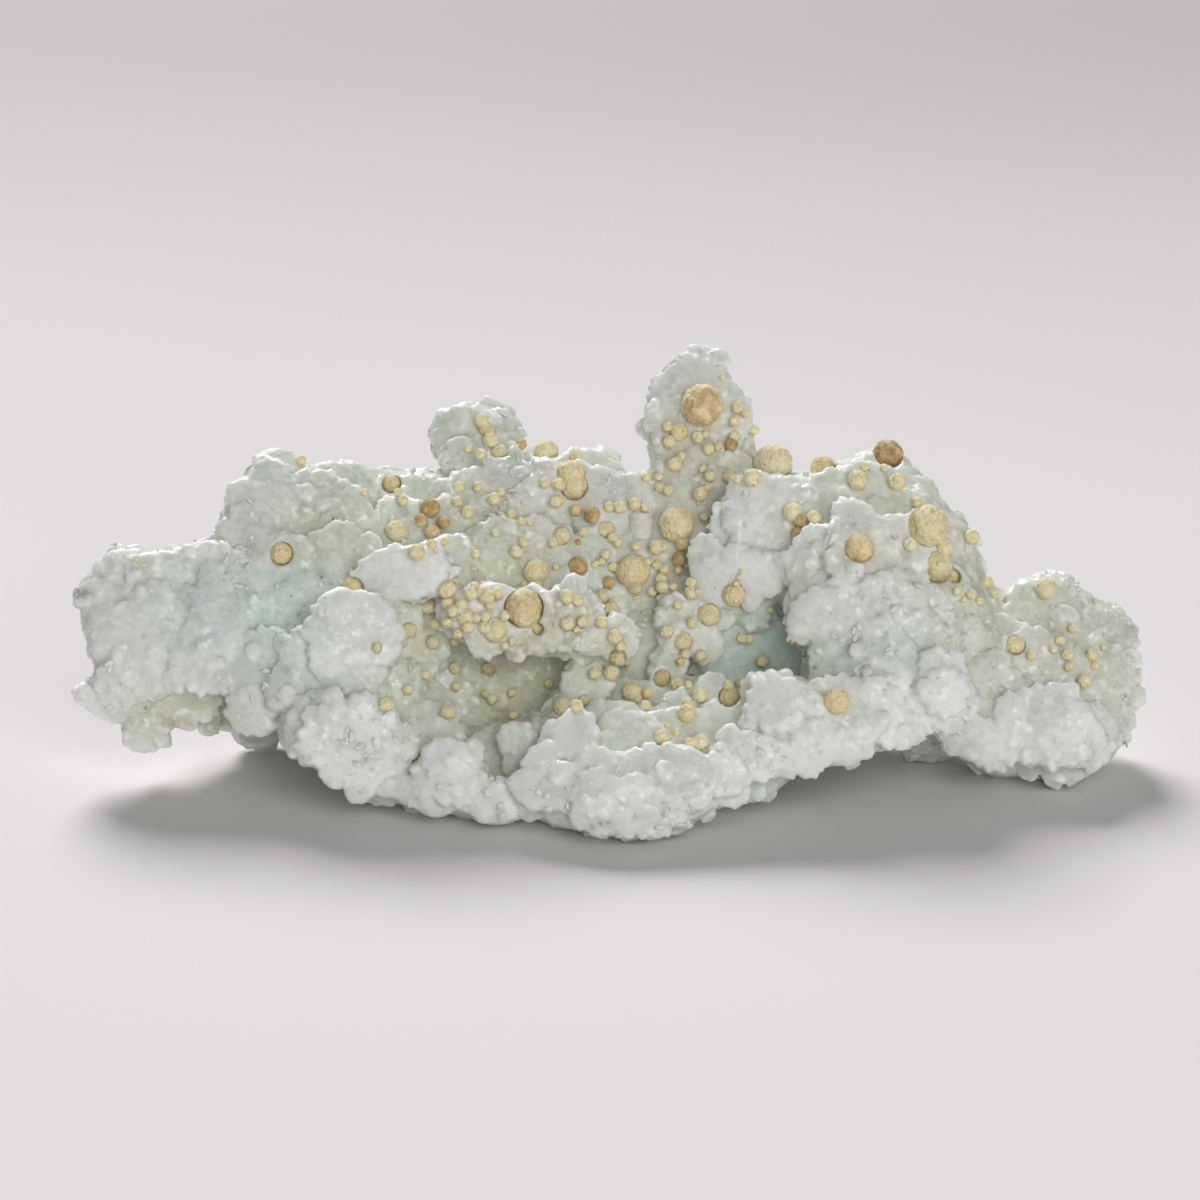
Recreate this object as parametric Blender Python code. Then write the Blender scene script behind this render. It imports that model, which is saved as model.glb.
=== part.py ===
"""Gyrolite on prehnite: a hand specimen, 130 mm from tip to tip.

One crust of grown-together prehnite lobes, flat underneath where it was parted
from its rock, with the larger round gyrolite balls seated in its surface.
Metres, +Z up, +X to the right, -Y is the display side.
"""
import math

import bmesh
import bpy
from mathutils import Matrix, Vector
from mathutils.bvhtree import BVHTree

# ---------------------------------------------------------------- dimensions
UNIT = 0.130 / 1075.0        # one unit of the layout grid
EYE = 0.450                  # the grid fans out from a point this far in front of it
TILT = math.radians(18.0)    # the grid leans back by this much
AXIS_X, AXIS_Y = 600.0, 600.0
ORIGIN = Vector((-0.00111, -0.00049, 0.02090))   # from the grid's middle to the origin below the specimen

SKIN = 0.0009                # grain of the grown-together crust
KEEP = 0.0150                # share of the crust's facets that are kept
GAP = 0.0003                 # between a ball and its socket
SINK = 0.40                  # how far out of the crust a ball's centre sits, in radii


def place(x, y, w):
    """A layout point: x to the right and y down in units, w forward in mm."""
    w = w * 0.001
    fan = (EYE - w) / EYE
    u = (x - AXIS_X) * UNIT * fan
    v = (AXIS_Y - y) * UNIT * fan
    return Vector((u,
                   v * math.sin(TILT) - w * math.cos(TILT),
                   v * math.cos(TILT) + w * math.sin(TILT))) + ORIGIN


LAYOUT = Matrix.Rotation(math.radians(90.0) - TILT, 3, "X")   # grid right, up and forward -> object axes

# ---------------------------------------------------------------- the crust's lobes
# x, y, forward (mm), half width, half height (units), half depth (mm), turn (degrees)
LOBES = [
    # left wing: a leaning slab that thins towards its tip
    (86, 594, 0.0, 17, 11, 2.5, 20), (112, 590, 0.0, 30, 34, 5.0, 0), (124, 563, -1.0, 20, 18, 4.0, 0),
    (108, 632, 1.0, 27, 34, 5.0, 10), (165, 588, -1.0, 42, 40, 6.0, 0), (150, 640, 1.0, 52, 48, 6.0, 0),
    (108, 705, 2.0, 40, 15, 4.0, -12), (146, 736, 1.0, 24, 20, 3.5, 0), (126, 680, 2.0, 34, 26, 5.0, 0),
    (175, 700, 0.0, 50, 27, 5.0, 0), (214, 655, 2.0, 48, 40, 7.0, 0), (205, 585, -2.0, 48, 46, 7.0, 20),
    (255, 600, -2.0, 62, 62, 8.0, 0), (262, 520, -6.0, 40, 48, 7.0, 10), (276, 466, -9.0, 27, 22, 4.0, 0),
    (264, 668, 2.0, 48, 40, 8.0, 0), (222, 712, -4.0, 34, 22, 5.0, 0), (262, 727, -9.0, 30, 24, 5.0, 0),
    (315, 515, -7.0, 58, 50, 8.0, 0), (345, 482, -10.0, 38, 24, 6.0, 0), (330, 580, -3.0, 62, 58, 9.0, 0),
    (396, 498, -13.0, 40, 30, 7.0, 0), (400, 545, -8.0, 50, 40, 8.0, 0),
    (284, 688, 8.0, 22, 22, 5.5, 0), (330, 660, 5.0, 55, 42, 8.0, 0),
    # plates that step down the right side of the left wing
    (414, 575, 4.0, 42, 27, 5.0, 8), (440, 562, 4.0, 22, 17, 4.0, 0), (362, 620, 7.0, 40, 30, 6.0, 15),
    (345, 655, 8.0, 38, 34, 6.0, 0), (402, 640, -1.0, 40, 45, 6.0, 0), (425, 640, -2.0, 27, 36, 5.0, 0),
    (385, 690, 3.0, 45, 42, 7.0, 0), (436, 697, 1.0, 20, 20, 4.0, 0),
    # forward foot of the left wing
    (318, 727, 9.0, 38, 40, 7.0, 0), (352, 738, 10.0, 56, 40, 8.0, 0), (376, 770, 9.0, 38, 30, 8.0, 0),
    (370, 785, 8.0, 30, 16, 7.0, 0), (430, 740, 5.0, 36, 46, 6.0, 0), (417, 790, 10.0, 35, 18, 7.0, 0),
    (457, 769, 14.0, 29, 25, 5.5, 0), (432, 805, 12.0, 18, 14, 4.0, 0), (462, 795, 12.0, 34, 18, 6.0, 0),
    (490, 800, 13.0, 28, 22, 6.0, 0), (503, 815, 15.0, 20, 14, 4.0, 0), (484, 815, 13.0, 12, 13, 3.5, 0),
    # back wall and floor of the left hollow
    (470, 690, -10.0, 50, 60, 7.0, 0), (480, 715, -6.0, 24, 30, 5.0, 0), (540, 690, -10.0, 50, 55, 7.0, 0),
    (490, 760, 3.0, 40, 34, 8.0, 0),
    # shelf over the hollow
    (470, 620, 0.0, 42, 26, 9.0, 0), (485, 612, 2.0, 38, 30, 8.0, 0), (530, 622, 1.0, 42, 34, 8.0, 0),
    (570, 618, 2.0, 36, 34, 8.0, 0), (575, 642, 3.0, 46, 20, 6.0, -6), (605, 655, 1.0, 30, 16, 5.0, 15),
    # slope above the shelf, leaning back
    (450, 535, -9.0, 40, 45, 8.0, 0), (490, 560, -7.0, 45, 38, 7.0, 0), (545, 570, -7.0, 45, 48, 7.0, 0),
    (600, 575, -8.0, 45, 50, 7.0, 0), (490, 500, -13.0, 48, 42, 8.0, 0), (540, 500, -12.0, 38, 46, 7.0, 0),
    (575, 500, -13.0, 36, 44, 7.0, 0), (610, 515, -12.0, 42, 44, 7.0, 0), (540, 475, -13.0, 26, 24, 5.0, 0),
    (592, 470, -17.0, 36, 26, 5.0, 0), (430, 497, -15.0, 28, 26, 6.0, 0), (640, 520, -12.0, 32, 42, 7.0, 0),
    # knob at the back
    (455, 430, -18.0, 27, 29, 5.0, 0), (503, 430, -19.0, 22, 27, 4.5, 0), (480, 434, -18.0, 26, 30, 5.0, 0),
    (482, 452, -17.0, 40, 26, 6.0, 0),
    # finger
    (703, 361, -14.0, 24, 19, 3.5, 0), (690, 395, -14.0, 42, 36, 5.0, 0), (668, 420, -14.0, 25, 48, 4.5, 0),
    (700, 440, -13.0, 44, 55, 6.0, 0), (737, 430, -14.0, 19, 34, 4.0, 0), (690, 490, -12.0, 42, 45, 7.0, 0),
    (735, 480, -13.0, 26, 34, 5.0, 0),
    # rib below the finger, running down to the front rim
    (680, 540, -10.0, 38, 50, 7.0, 0), (682, 595, -4.0, 27, 30, 5.0, 0), (686, 622, -1.0, 33, 30, 5.0, 0),
    (640, 600, -9.0, 32, 60, 6.0, 0), (640, 660, -8.0, 40, 40, 7.0, 0), (665, 665, 0.0, 18, 26, 5.0, 0),
    (640, 700, 1.0, 30, 26, 6.0, 0),
    # back wall of the right hollow
    (740, 650, -11.0, 60, 45, 6.0, 0), (800, 655, -10.0, 45, 45, 6.0, 0),
    # floor of the right hollow
    (700, 705, 4.0, 45, 26, 7.0, 0), (690, 730, 9.0, 50, 28, 7.0, 0),
    (780, 708, 1.0, 50, 30, 9.0, 0), (850, 700, 0.0, 50, 34, 9.0, 0), (740, 720, 2.0, 50, 28, 9.0, 0),
    # right wing: the big forward bulge
    (750, 520, -3.0, 40, 38, 6.0, 0), (742, 572, 0.0, 42, 26, 5.0, 0), (746, 608, -3.0, 27, 27, 5.0, 0),
    (735, 636, -6.0, 18, 16, 4.0, 0), (790, 505, -6.0, 48, 32, 8.0, 0), (822, 560, 2.0, 44, 36, 6.0, 0),
    (818, 600, 0.0, 36, 30, 6.0, 0), (815, 622, 5.0, 32, 26, 5.0, 0), (850, 500, -7.0, 50, 42, 8.0, 0),
    (880, 478, -10.0, 38, 33, 6.0, 0), (880, 560, 1.0, 54, 50, 8.0, 0), (905, 515, -6.0, 42, 40, 7.0, 0),
    (935, 550, -6.0, 38, 42, 7.0, 0), (958, 552, -8.0, 23, 34, 5.0, 0), (900, 610, 3.0, 55, 42, 8.0, 0),
    (955, 612, -2.0, 38, 38, 7.0, 0), (985, 622, -6.0, 28, 28, 5.0, 0), (860, 620, 3.0, 45, 32, 8.0, 0),
    (838, 668, 5.0, 32, 36, 6.0, 0), (882, 662, 8.0, 30, 34, 6.0, 0), (925, 650, 1.0, 50, 36, 6.0, 0),
    # lower right rim
    (785, 718, 12.0, 44, 40, 5.5, 0), (775, 686, 12.0, 19, 20, 3.5, 0), (840, 712, 9.0, 50, 40, 8.0, 0),
    (800, 755, 13.0, 55, 20, 6.0, 8), (745, 760, 15.0, 45, 26, 6.0, 15), (848, 748, 12.0, 32, 17, 6.0, 5),
    (888, 712, 8.0, 36, 38, 7.0, 0), (945, 700, 9.0, 34, 35, 6.0, 0), (930, 735, -6.0, 40, 26, 6.0, 0),
    # front rim, the lowest and most forward part
    (515, 740, 11.0, 22, 19, 5.0, 0), (574, 745, 13.0, 28, 28, 6.0, 0), (545, 745, 8.0, 34, 34, 6.0, 0),
    (576, 699, 5.0, 22, 20, 5.0, 0), (616, 713, 11.0, 24, 19, 5.0, 0), (635, 735, 12.0, 30, 30, 5.0, 0),
    (548, 786, 17.0, 44, 24, 6.0, 0), (600, 780, 17.0, 45, 32, 6.0, 0), (660, 775, 17.0, 60, 34, 6.0, 0),
    (562, 817, 15.0, 26, 15, 4.0, 0), (640, 812, 19.0, 55, 27, 5.0, 0), (600, 815, 19.0, 34, 22, 5.0, 0),
    (700, 790, 16.0, 42, 24, 5.5, 25), (690, 808, 14.0, 38, 18, 5.0, 20), (757, 787, 9.0, 36, 14, 5.0, 8),
    # neck and right blob
    (1000, 650, -3.0, 40, 40, 6.0, 0), (990, 700, 0.0, 45, 45, 7.0, 0), (1048, 612, -6.0, 44, 45, 6.0, 0),
    (1090, 640, -7.0, 46, 44, 6.0, 0), (1092, 690, -5.0, 50, 60, 6.5, 0), (1040, 670, -3.0, 48, 48, 7.0, 0),
    (1045, 725, 2.0, 52, 42, 7.0, 0), (1095, 735, -1.0, 30, 34, 6.0, 0), (994, 747, 4.0, 25, 28, 6.0, 0),
    (1075, 740, 3.0, 34, 30, 6.0, 0), (1005, 755, -2.0, 40, 28, 5.0, 0), (1062, 765, -1.0, 34, 22, 5.0, 0),
    # the bulk behind
    (330, 600, -14.0, 90, 80, 8.0, 0), (430, 600, -17.0, 90, 90, 10.0, 0), (530, 600, -20.0, 90, 95, 11.0, 0),
    (640, 600, -20.0, 90, 95, 11.0, 0), (740, 590, -17.0, 90, 90, 11.0, 0), (840, 590, -12.0, 90, 85, 11.0, 0),
    (930, 620, -9.0, 75, 70, 9.0, 0), (1020, 660, -9.0, 70, 60, 7.0, 0), (240, 600, -9.0, 80, 65, 6.0, 0),
    (560, 530, -22.0, 70, 60, 8.0, 0), (690, 520, -19.0, 50, 60, 8.0, 0),
    (370, 690, -14.0, 55, 45, 8.0, 0), (480, 690, -16.0, 70, 50, 9.0, 0), (600, 700, -12.0, 80, 50, 11.0, 0),
    (720, 700, -11.0, 75, 45, 9.0, 0), (830, 690, -10.0, 70, 45, 9.0, 0), (560, 750, 2.0, 70, 45, 9.0, 0),
    (660, 750, 4.0, 80, 40, 9.0, 0),
    # the base, cut off flat
    (560, 800, 2.0, 80, 32, 12.0, 0), (640, 795, 4.0, 80, 34, 12.0, 0), (470, 770, -8.0, 60, 36, 12.0, 0),
    (560, 780, -12.0, 80, 40, 13.0, 0), (640, 770, -14.0, 75, 40, 12.0, 0), (400, 740, -16.0, 60, 38, 9.0, 0),
]

# ---------------------------------------------------------------- the gyrolite balls
# name, colour, (x, y, radius in units[, flattening across, forward in mm]) for each grown-together ball
BALLS = [
    ("gyrolite_finger_ball", "peach", [(702, 405, 21)]),
    ("gyrolite_saddle_ball", "cream", [(773, 464, 20, 1.0, -8.0)]),
    ("gyrolite_crest_cluster", "cream", [(927, 526, 21), (945, 547, 9), (937, 567, 16), (952, 577, 8)]),
    ("gyrolite_shelf_ball", "ochre", [(524, 608, 20, 0.92), (538, 629, 6)]),
    ("gyrolite_rib_ball", "ochre", [(677, 524, 17.5), (683, 545, 7)]),
    ("gyrolite_centre_ball", "ochre", [(633, 571, 17), (635, 588, 7)]),
    ("gyrolite_twin_ball", "ochre", [(571, 474, 14), (574, 487, 14)]),
    ("gyrolite_wing_spotted_ball", "peach", [(859, 549, 14)]),
    ("gyrolite_crest_brown_ball", "brown", [(888, 454, 15, 1.0, -9.0)]),
    ("gyrolite_slope_nubbed_ball", "ochre", [(536, 571, 12.5), (538, 585, 5)]),
    ("gyrolite_back_ball", "cream", [(546, 452, 13, 1.0, -15.0)]),
    ("gyrolite_shelf_left_ball", "cream", [(494, 630, 12)]),
    ("gyrolite_lower_right_ball", "peach", [(837, 701, 12.5)]),
    ("gyrolite_left_wing_ball", "peach", [(282, 554, 12)]),
    ("gyrolite_left_wing_sunk_ball", "peach", [(353, 588, 11)]),
    ("gyrolite_hollow_upper_ball", "ochre", [(734, 595, 11.5)]),
    ("gyrolite_hollow_middle_ball", "ochre", [(709, 615, 11.5)]),
    ("gyrolite_hollow_floor_ball", "peach", [(729, 697, 11)]),
    ("gyrolite_crest_left_ball", "peach", [(823, 468, 13, 1.0, -9.0)]),
    ("gyrolite_wing_upper_ball", "cream", [(793, 513, 10)]),
    ("gyrolite_left_crest_ball", "peach", [(392, 484, 10)]),
    ("gyrolite_left_slope_ball", "cream", [(397, 531, 11)]),
    ("gyrolite_left_brown_ball", "brown", [(430, 508, 10)]),
    ("gyrolite_slope_ball", "ochre", [(562, 536, 9.5)]),
    ("gyrolite_front_ball", "cream", [(563, 707, 9.5)]),
    ("gyrolite_crest_front_ball", "cream", [(858, 480, 10)]),
    ("gyrolite_blob_top_ball", "cream", [(1046, 588, 10.5)]),
    ("gyrolite_neck_ball", "ochre", [(1015, 645, 10)]),
    ("gyrolite_floor_pair", "cream", [(687, 713, 9), (687, 703, 6)]),
    ("gyrolite_rib_low_ball", "ochre", [(683, 642, 9.5)]),
    ("gyrolite_slope_brown_ball", "brown", [(578, 566, 10)]),
    ("gyrolite_upper_small_ball", "cream", [(606, 530, 8.5)]),
    ("gyrolite_finger_low_ball", "peach", [(679, 432, 9)]),
    ("gyrolite_veiled_pair", "peach", [(397, 639, 11), (409, 630, 8)]),
    ("gyrolite_rib_foot_ball", "peach", [(662, 678, 8.5)]),
    ("gyrolite_shelf_small_ball", "cream", [(466, 618, 9)]),
    ("gyrolite_front_upper_ball", "cream", [(632, 692, 10)]),
    ("gyrolite_knob_ball", "cream", [(487, 429, 8.5)]),
    ("gyrolite_knob_low_ball", "cream", [(500, 453, 9)]),
    ("gyrolite_ledge_edge_ball", "ochre", [(618, 658, 8.5)]),
    ("gyrolite_rim_pair", "cream", [(700, 742, 8), (690, 743, 6)]),
]

COLOURS = {
    "cream": (0.72, 0.60, 0.33), "peach": (0.63, 0.43, 0.20),
    "ochre": (0.66, 0.50, 0.23), "brown": (0.36, 0.22, 0.09),
}


def clear():
    for thing in list(bpy.data.objects):
        bpy.data.objects.remove(thing, do_unlink=True)


def new_object(name, mesh):
    thing = bpy.data.objects.new(name, mesh)
    bpy.context.scene.collection.objects.link(thing)
    return thing


def material(name, colour, roughness):
    mat = bpy.data.materials.new(name)
    mat.use_nodes = True
    shader = mat.node_tree.nodes["Principled BSDF"]
    shader.inputs["Base Color"].default_value = (*colour, 1.0)
    shader.inputs["Roughness"].default_value = roughness
    shader.inputs["Metallic"].default_value = 0.0
    return mat


def add_ellipsoid(bm, centre, half, turn, detail):
    """An ellipsoid whose axes follow the layout grid, turned in the grid's plane."""
    frame = LAYOUT @ Matrix.Rotation(math.radians(turn), 3, "Z") @ Matrix.Diagonal(half)
    bmesh.ops.create_icosphere(bm, subdivisions=detail, radius=1.0,
                               matrix=Matrix.Translation(centre) @ frame.to_4x4())


def mesh_of(name, bm):
    mesh = bpy.data.meshes.new(name)
    bm.to_mesh(mesh)
    bm.free()
    return mesh


def evaluated(thing):
    """The object's mesh with its modifiers worked out, as a mesh of its own."""
    graph = bpy.context.evaluated_depsgraph_get()
    return bpy.data.meshes.new_from_object(thing.evaluated_get(graph), depsgraph=graph)


def grown_together(name, balls, grow):
    """One closed mesh of one or more balls, with grow added to every radius."""
    parts = []
    for centre, half in balls:
        bm = bmesh.new()
        add_ellipsoid(bm, centre, tuple(h + grow for h in half), 0.0, 2)
        parts.append(new_object(name + "_part", mesh_of(name + "_part", bm)))
    body = parts[0]
    for other in parts[1:]:
        cut = body.modifiers.new("grown", "BOOLEAN")
        cut.operation = "UNION"
        cut.solver = "EXACT"
        cut.object = other
    mesh = evaluated(body)
    mesh.name = name
    for part in parts:
        bpy.data.objects.remove(part, do_unlink=True)
    return mesh


clear()

# ---------------------------------------------------------------- prehnite crust
bm = bmesh.new()
for x, y, w, half_x, half_y, half_w, turn in LOBES:
    fan = (EYE - w * 0.001) / EYE
    add_ellipsoid(bm, place(x, y, w), (half_x * UNIT * fan, half_y * UNIT * fan, half_w * 0.001), turn, 3)
crust = new_object("prehnite_crust", mesh_of("prehnite_crust", bm))
crust.data.materials.append(material("prehnite", (0.60, 0.67, 0.60), 0.42))

skin = crust.modifiers.new("skin", "REMESH")
skin.mode = "VOXEL"
skin.voxel_size = SKIN
skin.use_smooth_shade = True
facets = crust.modifiers.new("facets", "DECIMATE")
facets.ratio = KEEP
facets.use_collapse_triangulate = True

surface_mesh = evaluated(crust)
surface_bm = bmesh.new()
surface_bm.from_mesh(surface_mesh)
surface = BVHTree.FromBMesh(surface_bm)
surface_bm.free()


def forward_at(x, y):
    """How far forward the crust's surface is at a layout point, in mm."""
    far = place(x, y, 60.0)
    near = place(x, y, -60.0)
    way = (near - far).normalized()
    hit = surface.ray_cast(far, way)[0]
    if hit is None:
        return -20.0
    whole = (near - far).length
    return 60.0 - 120.0 * (hit - far).length / whole


# ---------------------------------------------------------------- gyrolite balls and their sockets
finishes = {key: material("gyrolite_" + key, colour, 0.75) for key, colour in COLOURS.items()}
socket_bm = bmesh.new()
for name, colour, cluster in BALLS:
    balls, grown = [], []
    for ball in cluster:
        x, y, r = ball[:3]
        squeeze = ball[3] if len(ball) > 3 else 1.0
        radius = r * UNIT
        if len(ball) > 4:
            w = ball[4]
        else:
            ring = [forward_at(x + r * 0.6 * math.cos(a), y + r * 0.6 * math.sin(a))
                    for a in (0.0, math.pi * 0.5, math.pi, math.pi * 1.5)]
            w = 0.5 * forward_at(x, y) + 0.5 * sorted(ring)[2] + SINK * radius * 1000.0
        if grown:      # a further ball of a cluster keeps hold of its nearest neighbour
            px, py, pr, pw = min(grown, key=lambda g: math.hypot(g[0] - x, g[1] - y) - g[2])
            reach = (0.85 * (pr + r)) ** 2 - (px - x) ** 2 - (py - y) ** 2
            room = math.sqrt(max(reach, 0.0)) * UNIT * 1000.0
            w = min(max(w, pw - room), pw + room)
        grown.append((x, y, r, w))
        balls.append((place(x, y, w), (radius * squeeze, radius, radius * squeeze)))
    thing = new_object(name, grown_together(name, balls, 0.0))
    thing.data.materials.clear()
    thing.data.materials.append(finishes[colour])
    thing.data.shade_smooth()
    socket_bm.from_mesh(grown_together(name + "_socket", balls, GAP))

sockets = new_object("sockets", mesh_of("sockets", socket_bm))
sockets.hide_render = True
sockets.display_type = "WIRE"
seat = crust.modifiers.new("sockets", "BOOLEAN")
seat.operation = "DIFFERENCE"
seat.solver = "EXACT"
seat.object = sockets

# ---------------------------------------------------------------- the flat cut underneath
bm = bmesh.new()
bmesh.ops.create_cube(bm, size=1.0, matrix=Matrix.Translation((0.0, 0.0, -0.02)) @ Matrix.Diagonal((0.2, 0.2, 0.04, 1.0)))
ground = new_object("ground_cut", mesh_of("ground_cut", bm))
ground.hide_render = True
ground.display_type = "WIRE"
cut = crust.modifiers.new("ground", "BOOLEAN")
cut.operation = "DIFFERENCE"
cut.solver = "EXACT"
cut.object = ground
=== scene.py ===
"""Looks of the gyrolite on prehnite specimen: crust, balls, crystals, light and camera."""
import math
import time

import bmesh
import bpy
import numpy as np
import openvdb
from mathutils import Matrix, Vector
from mathutils.bvhtree import BVHTree


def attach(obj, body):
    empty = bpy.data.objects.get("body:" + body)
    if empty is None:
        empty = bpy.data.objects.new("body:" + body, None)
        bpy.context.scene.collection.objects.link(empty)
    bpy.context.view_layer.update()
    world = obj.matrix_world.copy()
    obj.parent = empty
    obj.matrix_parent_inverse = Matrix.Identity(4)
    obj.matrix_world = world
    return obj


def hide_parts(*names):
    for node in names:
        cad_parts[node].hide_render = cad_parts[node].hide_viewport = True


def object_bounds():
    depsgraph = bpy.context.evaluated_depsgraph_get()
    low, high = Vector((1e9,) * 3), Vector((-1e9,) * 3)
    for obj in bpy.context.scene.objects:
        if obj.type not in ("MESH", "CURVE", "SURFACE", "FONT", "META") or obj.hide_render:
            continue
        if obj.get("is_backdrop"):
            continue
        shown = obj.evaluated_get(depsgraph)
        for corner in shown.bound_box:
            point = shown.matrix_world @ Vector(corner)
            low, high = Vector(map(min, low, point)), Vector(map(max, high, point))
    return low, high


T0 = time.time()


def note(text):
    print(f"[{time.time() - T0:6.1f} s] {text}", flush=True)


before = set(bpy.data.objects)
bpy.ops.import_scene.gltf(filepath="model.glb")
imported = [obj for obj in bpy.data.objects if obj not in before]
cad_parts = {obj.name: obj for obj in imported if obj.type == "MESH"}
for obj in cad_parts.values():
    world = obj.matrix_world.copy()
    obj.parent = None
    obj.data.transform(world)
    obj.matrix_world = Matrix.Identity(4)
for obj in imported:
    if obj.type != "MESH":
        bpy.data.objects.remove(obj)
cad_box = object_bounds()

# ---------------------------------------------------------------- the layout grid, as in the CAD
UNIT = 0.130 / 1075.0
EYE = 0.450
TILT = math.radians(18.0)
AXIS_X, AXIS_Y = 600.0, 600.0
ORIGIN = Vector((-0.00111, -0.00049, 0.02090))
RIGHT = np.array((1.0, 0.0, 0.0))
UP = np.array((0.0, math.sin(TILT), math.cos(TILT)))
FORWARD = np.array((0.0, -math.cos(TILT), math.sin(TILT)))


def place(x, y, w):
    """A layout point: x to the right and y down in units, w forward in mm."""
    w = w * 0.001
    fan = (EYE - w) / EYE
    u = (x - AXIS_X) * UNIT * fan
    v = (AXIS_Y - y) * UNIT * fan
    return np.array(ORIGIN) + u * RIGHT + v * UP + w * FORWARD


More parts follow.
